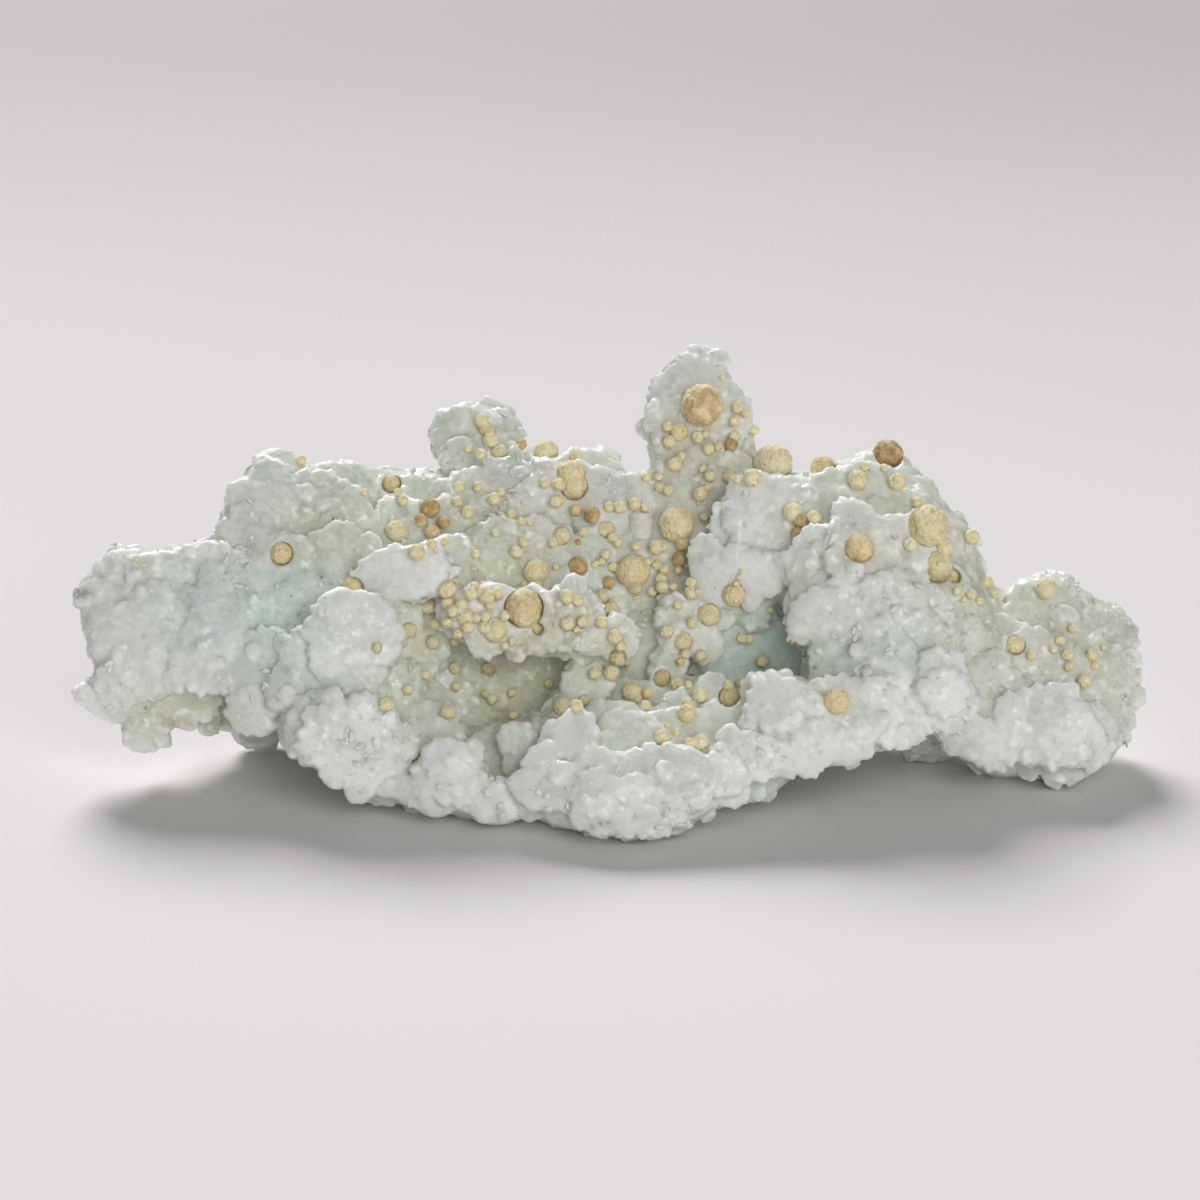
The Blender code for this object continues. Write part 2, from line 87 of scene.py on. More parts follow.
# x, y, forward (mm), half width, half height (units), half depth (mm), turn (degrees)
LOBES = [
    # left wing: a leaning slab that thins towards its tip
    (86, 594, 0.0, 17, 11, 2.5, 20), (112, 590, 0.0, 30, 34, 5.0, 0), (124, 563, -1.0, 20, 18, 4.0, 0),
    (108, 632, 1.0, 27, 34, 5.0, 10), (165, 588, -1.0, 42, 40, 6.0, 0), (150, 640, 1.0, 52, 48, 6.0, 0),
    (108, 705, 2.0, 40, 15, 4.0, -12), (146, 736, 1.0, 24, 20, 3.5, 0), (126, 680, 2.0, 34, 26, 5.0, 0),
    (175, 700, 0.0, 50, 27, 5.0, 0), (214, 655, 2.0, 48, 40, 7.0, 0), (205, 585, -2.0, 48, 46, 7.0, 20),
    (255, 600, -2.0, 62, 62, 8.0, 0), (262, 520, -6.0, 40, 48, 7.0, 10), (276, 466, -9.0, 27, 22, 4.0, 0),
    (264, 668, 2.0, 48, 40, 8.0, 0), (222, 712, -4.0, 34, 22, 5.0, 0), (262, 727, -9.0, 30, 24, 5.0, 0),
    (315, 515, -7.0, 58, 50, 8.0, 0), (345, 482, -10.0, 38, 24, 6.0, 0), (330, 580, -3.0, 62, 58, 9.0, 0),
    (396, 498, -13.0, 40, 30, 7.0, 0), (400, 545, -8.0, 50, 40, 8.0, 0),
    (284, 688, 8.0, 22, 22, 5.5, 0), (330, 660, 5.0, 55, 42, 8.0, 0),
    # plates that step down the right side of the left wing
    (414, 575, 4.0, 42, 27, 5.0, 8), (440, 562, 4.0, 22, 17, 4.0, 0), (362, 620, 7.0, 40, 30, 6.0, 15),
    (345, 655, 8.0, 38, 34, 6.0, 0), (402, 640, -1.0, 40, 45, 6.0, 0), (425, 640, -2.0, 27, 36, 5.0, 0),
    (385, 690, 3.0, 45, 42, 7.0, 0), (436, 697, 1.0, 20, 20, 4.0, 0),
    # forward foot of the left wing
    (318, 727, 9.0, 38, 40, 7.0, 0), (352, 738, 10.0, 56, 40, 8.0, 0), (376, 770, 9.0, 38, 30, 8.0, 0),
    (370, 785, 8.0, 30, 16, 7.0, 0), (430, 740, 5.0, 36, 46, 6.0, 0), (417, 790, 10.0, 35, 18, 7.0, 0),
    (457, 769, 14.0, 29, 25, 5.5, 0), (432, 805, 12.0, 18, 14, 4.0, 0), (462, 795, 12.0, 34, 18, 6.0, 0),
    (490, 800, 13.0, 28, 22, 6.0, 0), (503, 815, 15.0, 20, 14, 4.0, 0), (484, 815, 13.0, 12, 13, 3.5, 0),
    # back wall and floor of the left hollow
    (470, 690, -7.0, 50, 60, 7.0, 0), (480, 715, -6.0, 24, 30, 5.0, 0), (540, 690, -6.5, 50, 55, 7.0, 0),
    (490, 760, 3.0, 40, 34, 8.0, 0),
    # shelf over the hollow
    (470, 620, 0.0, 42, 26, 9.0, 0), (485, 612, 2.0, 38, 30, 8.0, 0), (530, 622, 1.0, 42, 34, 8.0, 0),
    (570, 618, 2.0, 36, 34, 8.0, 0), (575, 642, 3.0, 46, 20, 6.0, -6), (605, 655, 1.0, 30, 16, 5.0, 15),
    # slope above the shelf, leaning back
    (450, 535, -9.0, 40, 45, 8.0, 0), (490, 560, -7.0, 45, 38, 7.0, 0), (545, 570, -7.0, 45, 48, 7.0, 0),
    (600, 575, -8.0, 45, 50, 7.0, 0), (490, 500, -13.0, 48, 42, 8.0, 0), (540, 500, -12.0, 38, 46, 7.0, 0),
    (575, 500, -13.0, 36, 44, 7.0, 0), (610, 515, -12.0, 42, 44, 7.0, 0), (540, 475, -13.0, 26, 24, 5.0, 0),
    (592, 470, -17.0, 36, 26, 5.0, 0), (430, 497, -15.0, 28, 26, 6.0, 0), (640, 520, -12.0, 32, 42, 7.0, 0),
    # knob at the back
    (455, 430, -18.0, 27, 29, 5.0, 0), (503, 430, -19.0, 22, 27, 4.5, 0), (480, 434, -18.0, 26, 30, 5.0, 0),
    (482, 452, -17.0, 40, 26, 6.0, 0),
    # finger
    (703, 361, -14.0, 24, 19, 3.5, 0), (690, 395, -14.0, 42, 36, 5.0, 0), (668, 420, -14.0, 25, 48, 4.5, 0),
    (700, 440, -13.0, 44, 55, 6.0, 0), (737, 430, -14.0, 19, 34, 4.0, 0), (690, 490, -12.0, 42, 45, 7.0, 0),
    (735, 480, -13.0, 26, 34, 5.0, 0),
    # rib below the finger, running down to the front rim
    (680, 540, -10.0, 38, 50, 7.0, 0), (682, 595, -4.0, 27, 30, 5.0, 0), (686, 622, -1.0, 33, 30, 5.0, 0),
    (640, 600, -9.0, 32, 60, 6.0, 0), (640, 660, -8.0, 40, 40, 7.0, 0), (665, 665, 0.0, 18, 26, 5.0, 0),
    (640, 700, 1.0, 30, 26, 6.0, 0),
    # back wall of the right hollow
    (740, 650, -8.5, 60, 45, 6.0, 0), (800, 655, -7.0, 45, 45, 6.0, 0),
    # floor of the right hollow
    (700, 705, 4.0, 45, 26, 7.0, 0), (690, 730, 9.0, 50, 28, 7.0, 0),
    (780, 708, 1.0, 50, 30, 9.0, 0), (850, 700, 0.0, 50, 34, 9.0, 0), (740, 720, 2.0, 50, 28, 9.0, 0),
    # right wing: the big forward bulge
    (750, 520, -3.0, 40, 38, 6.0, 0), (742, 572, 0.0, 42, 26, 5.0, 0), (746, 608, -3.0, 27, 27, 5.0, 0),
    (735, 636, -6.0, 18, 16, 4.0, 0), (790, 505, -6.0, 48, 32, 8.0, 0), (822, 560, 2.0, 44, 36, 6.0, 0),
    (818, 600, 0.0, 36, 30, 6.0, 0), (815, 622, 5.0, 32, 26, 5.0, 0), (850, 500, -7.0, 50, 42, 8.0, 0),
    (880, 478, -10.0, 38, 33, 6.0, 0), (880, 560, 1.0, 54, 50, 8.0, 0), (905, 515, -6.0, 42, 40, 7.0, 0),
    (935, 550, -6.0, 38, 42, 7.0, 0), (958, 552, -8.0, 23, 34, 5.0, 0), (900, 610, 3.0, 55, 42, 8.0, 0),
    (955, 612, -2.0, 38, 38, 7.0, 0), (985, 622, -6.0, 28, 28, 5.0, 0), (860, 620, 3.0, 45, 32, 8.0, 0),
    (838, 668, 5.0, 32, 36, 6.0, 0), (882, 662, 8.0, 30, 34, 6.0, 0), (925, 650, 1.0, 50, 36, 6.0, 0),
    # lower right rim
    (785, 718, 12.0, 44, 40, 5.5, 0), (775, 686, 12.0, 19, 20, 3.5, 0), (840, 712, 9.0, 50, 40, 8.0, 0),
    (800, 755, 13.0, 55, 20, 6.0, 8), (745, 760, 15.0, 45, 26, 6.0, 15), (848, 748, 12.0, 32, 17, 6.0, 5),
    (888, 712, 8.0, 36, 38, 7.0, 0), (945, 700, 9.0, 34, 35, 6.0, 0), (930, 735, -6.0, 40, 26, 6.0, 0),
    # front rim, the lowest and most forward part
    (515, 740, 11.0, 22, 19, 5.0, 0), (574, 745, 13.0, 28, 28, 6.0, 0), (545, 745, 8.0, 34, 34, 6.0, 0),
    (576, 699, 5.0, 22, 20, 5.0, 0), (616, 713, 11.0, 24, 19, 5.0, 0), (635, 735, 12.0, 30, 30, 5.0, 0),
    (548, 786, 17.0, 44, 24, 6.0, 0), (600, 780, 17.0, 45, 32, 6.0, 0), (660, 775, 17.0, 60, 34, 6.0, 0),
    (562, 817, 15.0, 26, 15, 4.0, 0), (640, 812, 19.0, 55, 27, 5.0, 0), (600, 815, 19.0, 34, 22, 5.0, 0),
    (700, 790, 16.0, 42, 24, 5.5, 25), (690, 808, 14.0, 38, 18, 5.0, 20), (757, 787, 9.0, 36, 14, 5.0, 8),
    # neck and right blob
    (1000, 650, -3.0, 40, 40, 6.0, 0), (990, 700, 0.0, 45, 45, 7.0, 0), (1048, 612, -6.0, 44, 45, 6.0, 0),
    (1090, 640, -7.0, 46, 44, 6.0, 0), (1092, 690, -5.0, 50, 60, 6.5, 0), (1040, 670, -3.0, 48, 48, 7.0, 0),
    (1045, 725, 2.0, 52, 42, 7.0, 0), (1095, 735, -1.0, 30, 34, 6.0, 0), (994, 747, 4.0, 25, 28, 6.0, 0),
    (1075, 740, 3.0, 34, 30, 6.0, 0), (1005, 755, -2.0, 40, 28, 5.0, 0), (1062, 765, -1.0, 34, 22, 5.0, 0),
    # the bulk behind
    (330, 600, -14.0, 90, 80, 8.0, 0), (430, 600, -17.0, 90, 90, 10.0, 0), (530, 600, -20.0, 90, 95, 11.0, 0),
    (640, 600, -20.0, 90, 95, 11.0, 0), (740, 590, -17.0, 90, 90, 11.0, 0), (840, 590, -12.0, 90, 85, 11.0, 0),
    (930, 620, -9.0, 75, 70, 9.0, 0), (1020, 660, -9.0, 70, 60, 7.0, 0), (240, 600, -9.0, 80, 65, 6.0, 0),
    (560, 530, -22.0, 70, 60, 8.0, 0), (690, 520, -19.0, 50, 60, 8.0, 0),
    (370, 690, -14.0, 55, 45, 8.0, 0), (480, 690, -16.0, 70, 50, 9.0, 0), (600, 700, -12.0, 80, 50, 11.0, 0),
    (720, 700, -11.0, 75, 45, 9.0, 0), (830, 690, -10.0, 70, 45, 9.0, 0), (560, 750, 2.0, 70, 45, 9.0, 0),
    (660, 750, 4.0, 80, 40, 9.0, 0),
    # the base, cut off flat
    (560, 800, 2.0, 80, 32, 12.0, 0), (640, 795, 4.0, 80, 34, 12.0, 0), (470, 770, -8.0, 60, 36, 12.0, 0),
    (560, 780, -12.0, 80, 40, 13.0, 0), (640, 770, -14.0, 75, 40, 12.0, 0), (400, 740, -16.0, 60, 38, 9.0, 0),
]

# ---------------------------------------------------------------- a distance field on a grid of voxels
H = 0.00025                                      # one voxel
BASE = np.array((-0.0670, -0.0335, -0.0016))     # the grid's lowest corner
SIZE = (536, 268, 206)
FAR = np.float32(0.0026)
AX = [BASE[i] + H * np.arange(SIZE[i], dtype=np.float32) for i in range(3)]
AX = [a.astype(np.float32) for a in AX]
field = np.full(SIZE, FAR, np.float32)
owner = np.full(SIZE, -1, np.int16)              # which plate each voxel's surface belongs to
plates = []                                      # centre, axes, half sizes, rim, tone


def spans(centre, reach):
    """Index ranges of the voxels within reach of a centre, per axis."""
    out = []
    for i in range(3):
        a = max(0, int((centre[i] - reach[i] - BASE[i]) / H))
        b = min(SIZE[i], int((centre[i] + reach[i] - BASE[i]) / H) + 2)
        if b <= a:
            return None
        out.append(slice(a, b))
    return tuple(out)


def local(span, centre, rows):
    """Coordinates of a span's voxels along three rows about a centre."""
    x = AX[0][span[0]][:, None, None] - np.float32(centre[0])
    y = AX[1][span[1]][None, :, None] - np.float32(centre[1])
    z = AX[2][span[2]][None, None, :] - np.float32(centre[2])
    return [np.float32(r[0]) * x + (np.float32(r[1]) * y + np.float32(r[2]) * z) for r in rows]


def add_lobe(centre, axes, half, cut=False, reach=0.0012, soft=0.0):
    """Unite the field with an ellipsoid of unit axes and half sizes, or cut it away."""
    axes = np.asarray(axes, float)
    half = np.asarray(half, float)
    span = spans(centre, np.sqrt(((axes * half[:, None]) ** 2).sum(0)) + reach)
    if span is None:
        return
    a, b, c = local(span, centre, axes / half[:, None])
    flat = a * a + b * b
    k0 = np.sqrt(flat + c * c)
    k1 = np.sqrt(flat / np.float32((half[0] * half[1])) + (c / np.float32(half[2])) ** 2) + np.float32(1e-6)
    d = (k0 * (k0 - 1.0) / k1).astype(np.float32)
    part = field[span]
    if cut:
        np.maximum(part, -d, out=part)
    elif soft:
        k = np.float32(soft)
        h = np.maximum(k - np.abs(part - d), 0) / k
        np.copyto(part, np.minimum(part, d) - h * h * k * np.float32(0.25))
    else:
        np.minimum(part, d, out=part)


def add_plate(centre, axes, half, rim, tone, reach=0.0008, cut=False):
    """Unite the field with a flat-topped plate whose outline follows rim, a factor of its radius round the turn."""
    axes = np.asarray(axes, float)
    half = np.asarray(half, float)
    span = spans(centre, np.sqrt(((axes * half[:, None] * np.array((1.15, 1.15, 1.0))[:, None]) ** 2).sum(0)) + reach)
    if span is None:
        return
    a, b, c = local(span, centre, axes / half[:, None])
    turn = ((np.arctan2(b, a) * np.float32(len(rim) / (2 * math.pi))).astype(np.int32)) % len(rim)
    s2 = (a * a + b * b) / (rim[turn] ** 2)
    c2 = c * c
    k = np.sqrt(np.sqrt(s2 * s2 + c2 * c2))
    slope = np.sqrt(s2 ** 3 / np.float32(half[0] * half[1]) + c2 ** 3 / np.float32(half[2] ** 2)) + np.float32(1e-4)
    d = ((k - 1.0) * k ** 3 / slope).astype(np.float32)
    np.minimum(d, FAR, out=d)
    part = field[span]
    if cut:
        np.maximum(part, -d, out=part)
        return
    lower = d < part
    part[lower] = d[lower]
    owner[span][lower] = len(plates)
    plates.append((np.asarray(centre), axes, half, rim, tone))


def mesh_field(field, step, base):
    """Points, triangles of the field's zero surface, outward facing."""
    grid = openvdb.FloatGrid(float(field.max()))
    grid.copyFromArray(field)
    points, tris, quads = grid.convertToPolygons(isovalue=0.0, adaptivity=0.0)
    points = points.astype(float) * step + base
    tris = np.concatenate([tris.reshape(-1, 3), quads[:, [0, 1, 2]], quads[:, [0, 2, 3]]]).astype(np.int64)
    p = points[tris]
    if np.einsum("ij,ij->", p[:, 0], np.cross(p[:, 1], p[:, 2])) < 0:
        tris = tris[:, ::-1]
    return points, tris


def new_mesh(name, points, tris):
    mesh = bpy.data.meshes.new(name)
    mesh.vertices.add(len(points))
    mesh.vertices.foreach_set("co", np.asarray(points, np.float32).ravel())
    mesh.loops.add(len(tris) * 3)
    mesh.loops.foreach_set("vertex_index", np.asarray(tris, np.int32).ravel())
    mesh.polygons.add(len(tris))
    mesh.polygons.foreach_set("loop_start", np.arange(0, len(tris) * 3, 3, dtype=np.int32))
    mesh.update(calc_edges=True)
    mesh.validate()
    return mesh


def new_object(name, mesh):
    thing = bpy.data.objects.new(name, mesh)
    bpy.context.scene.collection.objects.link(thing)
    return thing


def turned(degrees):
    """Grid axes turned in the grid's plane: right, up, forward."""
    t = math.radians(degrees)
    return np.array((RIGHT * math.cos(t) + UP * math.sin(t), UP * math.cos(t) - RIGHT * math.sin(t), FORWARD))


def leaned(axes, lean):
    """The axes with their third one leaning by a vector."""
    third = axes[2] + lean
    third /= np.linalg.norm(third)
    first = axes[0] - third * (axes[0] @ third)
    first /= np.linalg.norm(first)
    return np.array((first, np.cross(third, first), third))


# ---------------------------------------------------------------- the crust: rounded bulk, then flat plates with crenulated rims
rng = np.random.default_rng(20)


def rim_table(radius, scallop, tooth, deep=0.10, fine=0.00035):
    """A plate's rim: broad scallops and fine teeth at the spacings given, as factors of its radius round the turn."""
    n = 512
    angle = np.linspace(0, 2 * math.pi, n, endpoint=False)
    warp = angle + 0.16 * np.sin(angle * 3 + rng.uniform(0, 7)) + 0.08 * np.sin(angle * 7 + rng.uniform(0, 7))
    lobes = max(4, round(2 * math.pi * radius / scallop))
    wave = 1.0 + deep * (np.abs(np.sin(warp * lobes / 2 + rng.uniform(0, 7))) - 0.75)
    lobes = max(5, round(2 * math.pi * radius / scallop * 1.7))
    wave += deep * 0.5 * (np.abs(np.sin(warp * lobes / 2 + rng.uniform(0, 7))) - 0.7)
    wave += 0.05 * np.sin(angle * 2 + rng.uniform(0, 7)) + 0.04 * np.sin(angle * 3 + rng.uniform(0, 7))
    teeth = max(8, round(2 * math.pi * radius / tooth))
    jag = np.interp(np.arange(n) * teeth * 2 / n, np.arange(teeth * 2 + 1), rng.uniform(-1, 1, teeth * 2 + 1))
    wave += fine / radius * jag * 0.6
    return wave.astype(np.float32)


def blurred(solid, radius, passes=3):
    """A box blur along each axis, three times over."""
    out = solid.astype(np.float32)
    for _ in range(passes):
        for axis in range(3):
            pad = [(0, 0)] * 3
            pad[axis] = (radius + 1, radius)
            total = np.cumsum(np.pad(out, pad, mode="edge"), axis=axis, dtype=np.float64)
            n = out.shape[axis]
            hi = np.take(total, np.arange(2 * radius + 1, 2 * radius + 1 + n), axis=axis)
            lo = np.take(total, np.arange(0, n), axis=axis)
            out = ((hi - lo) / (2 * radius + 1)).astype(np.float32)
    return out


for x, y, w, rx, ry, rw, turn in LOBES:
    fan = (EYE - w * 0.001) / EYE
    add_lobe(place(x, y, w), turned(turn), (rx * UNIT * fan, ry * UNIT * fan, rw * 0.001), reach=0.0026, soft=0.0016)
# narrow clefts between the lobes are grown over
occupied = np.clip(0.5 - field / np.float32(2 * H), 0, 1)
smooth = blurred(occupied, 5)
field = np.clip((0.56 - smooth) * np.float32(5.5 * H * 2.5), -FAR, FAR)
del occupied, smooth
bulk = field.copy()
note("bulk")


def stands_out(points):
    """How far the furthest of some points is outside the bulk."""
    at = np.clip(np.round((points - BASE) / H).astype(int), 0, np.array(SIZE) - 1)
    return float(bulk[at[:, 0], at[:, 1], at[:, 2]].max())


ROUND = np.array([(math.cos(t), math.sin(t)) for t in np.linspace(0, 2 * math.pi, 12, endpoint=False)])


def surface(step):
    """Triangles of the field as it stands, on a coarser grid: corners, areas, facing."""
    points, tris = mesh_field(field[::step, ::step, ::step].copy(), step * H, BASE)
    corner = points[tris]
    cross = np.cross(corner[:, 1] - corner[:, 0], corner[:, 2] - corner[:, 0])
    area = np.linalg.norm(cross, axis=1) / 2
    return corner, area, cross / (2 * area[:, None] + 1e-12)


def grow_plates(number, weight, small, large, power, thin, lean_most, rise_least, rise_most, rim_set, limit, front=0.0, scallops=0):
    """Plates all over the surface, lying along it or leaning a little."""
    chance = area * weight
    where = rng.choice(len(corner), number, p=chance / chance.sum())
    mix = rng.dirichlet((1, 1, 1), number)
    spot = (corner[where] * mix[:, :, None]).sum(1)
    for i in range(number):
        n = facing[where[i]]
        r = small + (large - small) * rng.random() ** power
        axis = n + np.array((0.0, 0.0, 0.08)) + rng.normal(size=3) * lean_most
        if n @ FORWARD > 0:
            axis = axis + FORWARD * front
        axis /= np.linalg.norm(axis)
        if axis @ n < 0.75:
            axis = axis + n * (0.9 - axis @ n)
            axis /= np.linalg.norm(axis)
        a = np.cross(axis, rng.normal(size=3))
        a /= np.linalg.norm(a)
        b = np.cross(axis, a)
        thick = r * rng.uniform(*thin)
        rise = rng.uniform(rise_least, rise_most)
        tone = float(rng.uniform(0.0, 1.0))
        top = spot[i] + n * rise
        for _ in range(4):
            over = stands_out(top + r * (ROUND[:, :1] * a + ROUND[:, 1:] * b)) - limit
            if over < 0.0003:
                break
            r, thick = r * 0.75, thick * 0.75
        top = top - axis * max(0.0, over)
        add_plate(top - axis * thick, (a, b, axis), (r * rng.uniform(0.85, 1.2), r, thick), rim_set[int(rng.integers(len(rim_set)))], tone)
        if scallops:
            angle, end = rng.uniform(0, 2 * math.pi), 0.0
            while end < 2 * math.pi:
                rr = min(r * 0.5, rng.uniform(0.0006, 0.0017))
                out = max(0.2 * r, r * rng.uniform(0.95, 1.03) - rr * 1.05)
                axis2 = axis + rng.normal(size=3) * 0.07
                axis2 /= np.linalg.norm(axis2)
                a2 = np.cross(axis2, rng.normal(size=3))
                a2 /= np.linalg.norm(a2)
                thick2 = min(thick, rr * 0.9)
                middle = top + a * out * math.cos(angle + end) + b * out * math.sin(angle + end) - axis2 * (thick2 + rng.uniform(0.00, 0.35) * 0.001)
                add_plate(middle, (a2, np.cross(axis2, a2), axis2), (rr * rng.uniform(0.85, 1.3), rr, thick2), small_rims[int(rng.integers(len(small_rims)))], float(np.clip(tone + rng.normal() * 0.10, 0, 1)))
                end += rr / r * rng.uniform(1.0, 2.6) * scallops


def widest(grid, reach):
    """Each cell's highest value within reach cells, along both axes."""
    out = grid
    for axis in (0, 1):
        best = out.copy()
        for step in range(1, reach + 1):
            for way in (step, -step):
                best = np.maximum(best, np.roll(out, way, axis))
        out = best
    return out


def softened(grid, reach):
    out = grid.astype(float)
    for _ in range(3):
        for axis in (0, 1):
            out = sum(np.roll(out, k, axis) for k in range(-reach, reach + 1)) / (2 * reach + 1)
    return out


def layout_cells(points):
    q = points - np.array(ORIGIN)
    w = q @ FORWARD
    fan = (EYE - w) / EYE
    i = np.clip(((q @ RIGHT / fan + 0.075) / 0.0005).astype(int), 0, 299)
    j = np.clip(((q @ UP / fan + 0.035) / 0.0005).astype(int), 0, 139)
    return i, j, w


def height_map():
    """How far forward the surface stands, on a half millimetre grid across the layout."""
    points, tris = mesh_field(field[::2, ::2, ::2].copy(), 2 * H, BASE)
    out = np.full((300, 140), -0.06)
    i, j, w = layout_cells(points)
    np.maximum.at(out, (i, j), w)
    return np.where(out < -0.05, widest(out, 1), out)


cell_u, cell_v = np.meshgrid(np.arange(300) * 0.0005 - 0.07475, np.arange(140) * 0.0005 - 0.03475, indexing="ij")


def stamp(heights, u, v, level, a, b, turn, lift, rim, tone, thick, give=0.004, slope_most=0.75, scallop=1.0, trim=0.0011, whole=False):
    """A flat plate laid on the visible surface over an ellipse of the layout, with the surface above it trimmed."""
    t = math.radians(turn)
    du, dv = cell_u - u, cell_v - v
    inside = ((du * math.cos(t) + dv * math.sin(t)) / a) ** 2 + ((dv * math.cos(t) - du * math.sin(t)) / b) ** 2 < 0.85
    near = inside & (np.abs(heights - level) < give)
    if near.sum() < 6 or (whole and (heights[inside] < -0.05).any()):
        return False
    w = heights[near]
    fan = (EYE - w) / EYE
    x, y = cell_u[near] * fan, cell_v[near] * fan
    mx, my, mw = x.mean(), y.mean(), w.mean()
    rows = np.stack([x - mx, y - my], 1)
    lean = np.linalg.solve(rows.T @ rows + np.eye(2) * 1e-6, rows.T @ (w - mw)) * 0.85
    lean = np.clip(lean + rng.normal(size=2) * 0.05, -slope_most, slope_most)
    fan0 = (EYE - mw) / EYE
    cx, cy = u * fan0, v * fan0
    cw = mw + lean[0] * (cx - mx) + lean[1] * (cy - my)
    top = np.array(ORIGIN) + cx * RIGHT + cy * UP + cw * FORWARD
    axis = FORWARD - lean[0] * RIGHT - lean[1] * UP
    axis /= np.linalg.norm(axis)
    axes = turned(turn)
    first = axes[0] - axis * (axes[0] @ axis)
    first /= np.linalg.norm(first)
    second = np.cross(axis, first)
    top = top + axis * lift
    a, b = a * fan0, b * fan0
    if trim:
        add_plate(top + axis * trim, (first, second, axis), (a * 0.97, b * 0.97, trim), rim, tone, cut=True)
    add_plate(top - axis * thick, (first, second, axis), (a, b, thick), rim, tone)
    if scallop:
        mean = math.sqrt(a * b)
        angle, end = rng.uniform(0, 2 * math.pi), 0.0
        while end < 2 * math.pi:
            rr = min(mean * 0.45, rng.uniform(0.0005, 0.0015))
            out = max(0.2, rng.uniform(0.98, 1.05) - rr * 1.1 / mean)
            k = angle + end
            thick2 = min(thick, rr * 0.9)
            axis2 = axis + rng.normal(size=3) * 0.06
            axis2 /= np.linalg.norm(axis2)
            a2 = np.cross(axis2, rng.normal(size=3))
            a2 /= np.linalg.norm(a2)
            spot = top + first * a * out * math.cos(k) + second * b * out * math.sin(k) - axis2 * (thick2 + rng.uniform(-0.05, 0.4) * 0.001)
            add_plate(spot, (a2, np.cross(axis2, a2), axis2), (rr * rng.uniform(0.85, 1.35), rr, thick2), small_rims[int(rng.integers(len(small_rims)))], float(np.clip(tone + rng.normal() * 0.08, 0, 1)))
            end += rr / mean * rng.uniform(0.9, 2.2) * scallop
    return True


def waves(cell, height):
    """Smooth random waves on the grid, cell voxels apart."""
    shape = [n // cell + 3 for n in SIZE]
    out = rng.uniform(-height, height, shape).astype(np.float32)
    for axis in range(3):
        at = np.arange(SIZE[axis]) / cell
        low = at.astype(int)
        t = (at - low).astype(np.float32)
        t = t * t * (3 - 2 * t)
        form = [1, 1, 1]
        form[axis] = -1
        t = t.reshape(form)
        out = np.take(out, low, axis=axis) * (1 - t) + np.take(out, low + 1, axis=axis) * t
    return out


small_rims = [rim_table(0.0011, 0.0012, 0.0007, 0.10, 0.0003) for _ in range(40)]
broad_rims = [rim_table(0.0030, 0.0026, 0.0010, 0.10, 0.0007) for _ in range(40)]
# behind, above and below: plates lying along the bulk
corner, area, facing = surface(3)
note(f"coarse surface {len(corner)} facets, {area.sum() * 1e6:.0f} mm2")
aside = np.clip(0.80 - facing @ FORWARD, 0.02, 1.0)
grow_plates(560, aside ** 2, 0.0016, 0.0044, 1.5, (0.25, 0.4), 0.12, 0.0001, 0.0009, broad_rims, 0.0008, 0.35, 1.0)
note("plates behind")
# in front: the lobes of the table as flat plates, from the back forwards
HIDDEN = next(i for i, lobe in enumerate(LOBES) if lobe[:3] == (330, 600, -14.0))
heights = height_map()
for x, y, w, rx, ry, rw, turn in sorted(LOBES[:HIDDEN], key=lambda lobe: lobe[2] + lobe[5]):
    mean = math.sqrt(rx * ry) * UNIT
    stamp(heights, (x - AXIS_X) * UNIT, (AXIS_Y - y) * UNIT, (w + rw * 0.8) * 0.001, rx * UNIT, ry * UNIT, turn, rng.uniform(0.0001, 0.0008),
          rim_table(mean, 0.0030, 0.0012, 0.10, 0.0007), float(rng.uniform(0.2, 1.0)), min(0.0018, mean * 0.6))
note("plates in front")
heights = height_map()
filled = np.argwhere(heights > -0.05)
for pick in filled[rng.choice(len(filled), 420)]:
    u, v = cell_u[tuple(pick)] + rng.uniform(-0.0002, 0.0002), cell_v[tuple(pick)] + rng.uniform(-0.0002, 0.0002)
    r = 0.0011 + 0.0022 * rng.random() ** 1.4
    stamp(heights, u, v, heights[tuple(pick)], r * rng.uniform(0.85, 1.3), r, rng.uniform(0, 180), rng.uniform(0.0001, 0.0005),
          small_rims[int(rng.integers(40))] if r < 0.0018 else broad_rims[int(rng.integers(40))], float(rng.uniform(0.1, 1.0)), r * 0.5, 0.0012, 0.9, 1.6, 0.0, True)
note("small plates in front")
# plates of their own shapes that stand out in the view
def star_rim(points, deep, seed):
    """A jagged outline of a few pointed blades."""
    r = np.random.default_rng(seed)
    tips = np.sort((np.arange(points) + r.uniform(-0.25, 0.25, points)) / points * 512)
    at = np.concatenate([tips, (tips + np.roll(tips, -1)) / 2 + np.where(np.roll(tips, -1) < tips, 256, 0)])
    value = np.concatenate([r.uniform(1.0, 1.0 + deep, points), r.uniform(1.0 - deep, 1.0 - deep * 0.4, points)])
    order = np.argsort(at)
    return np.interp(np.arange(512), at[order], value[order], period=512).astype(np.float32)


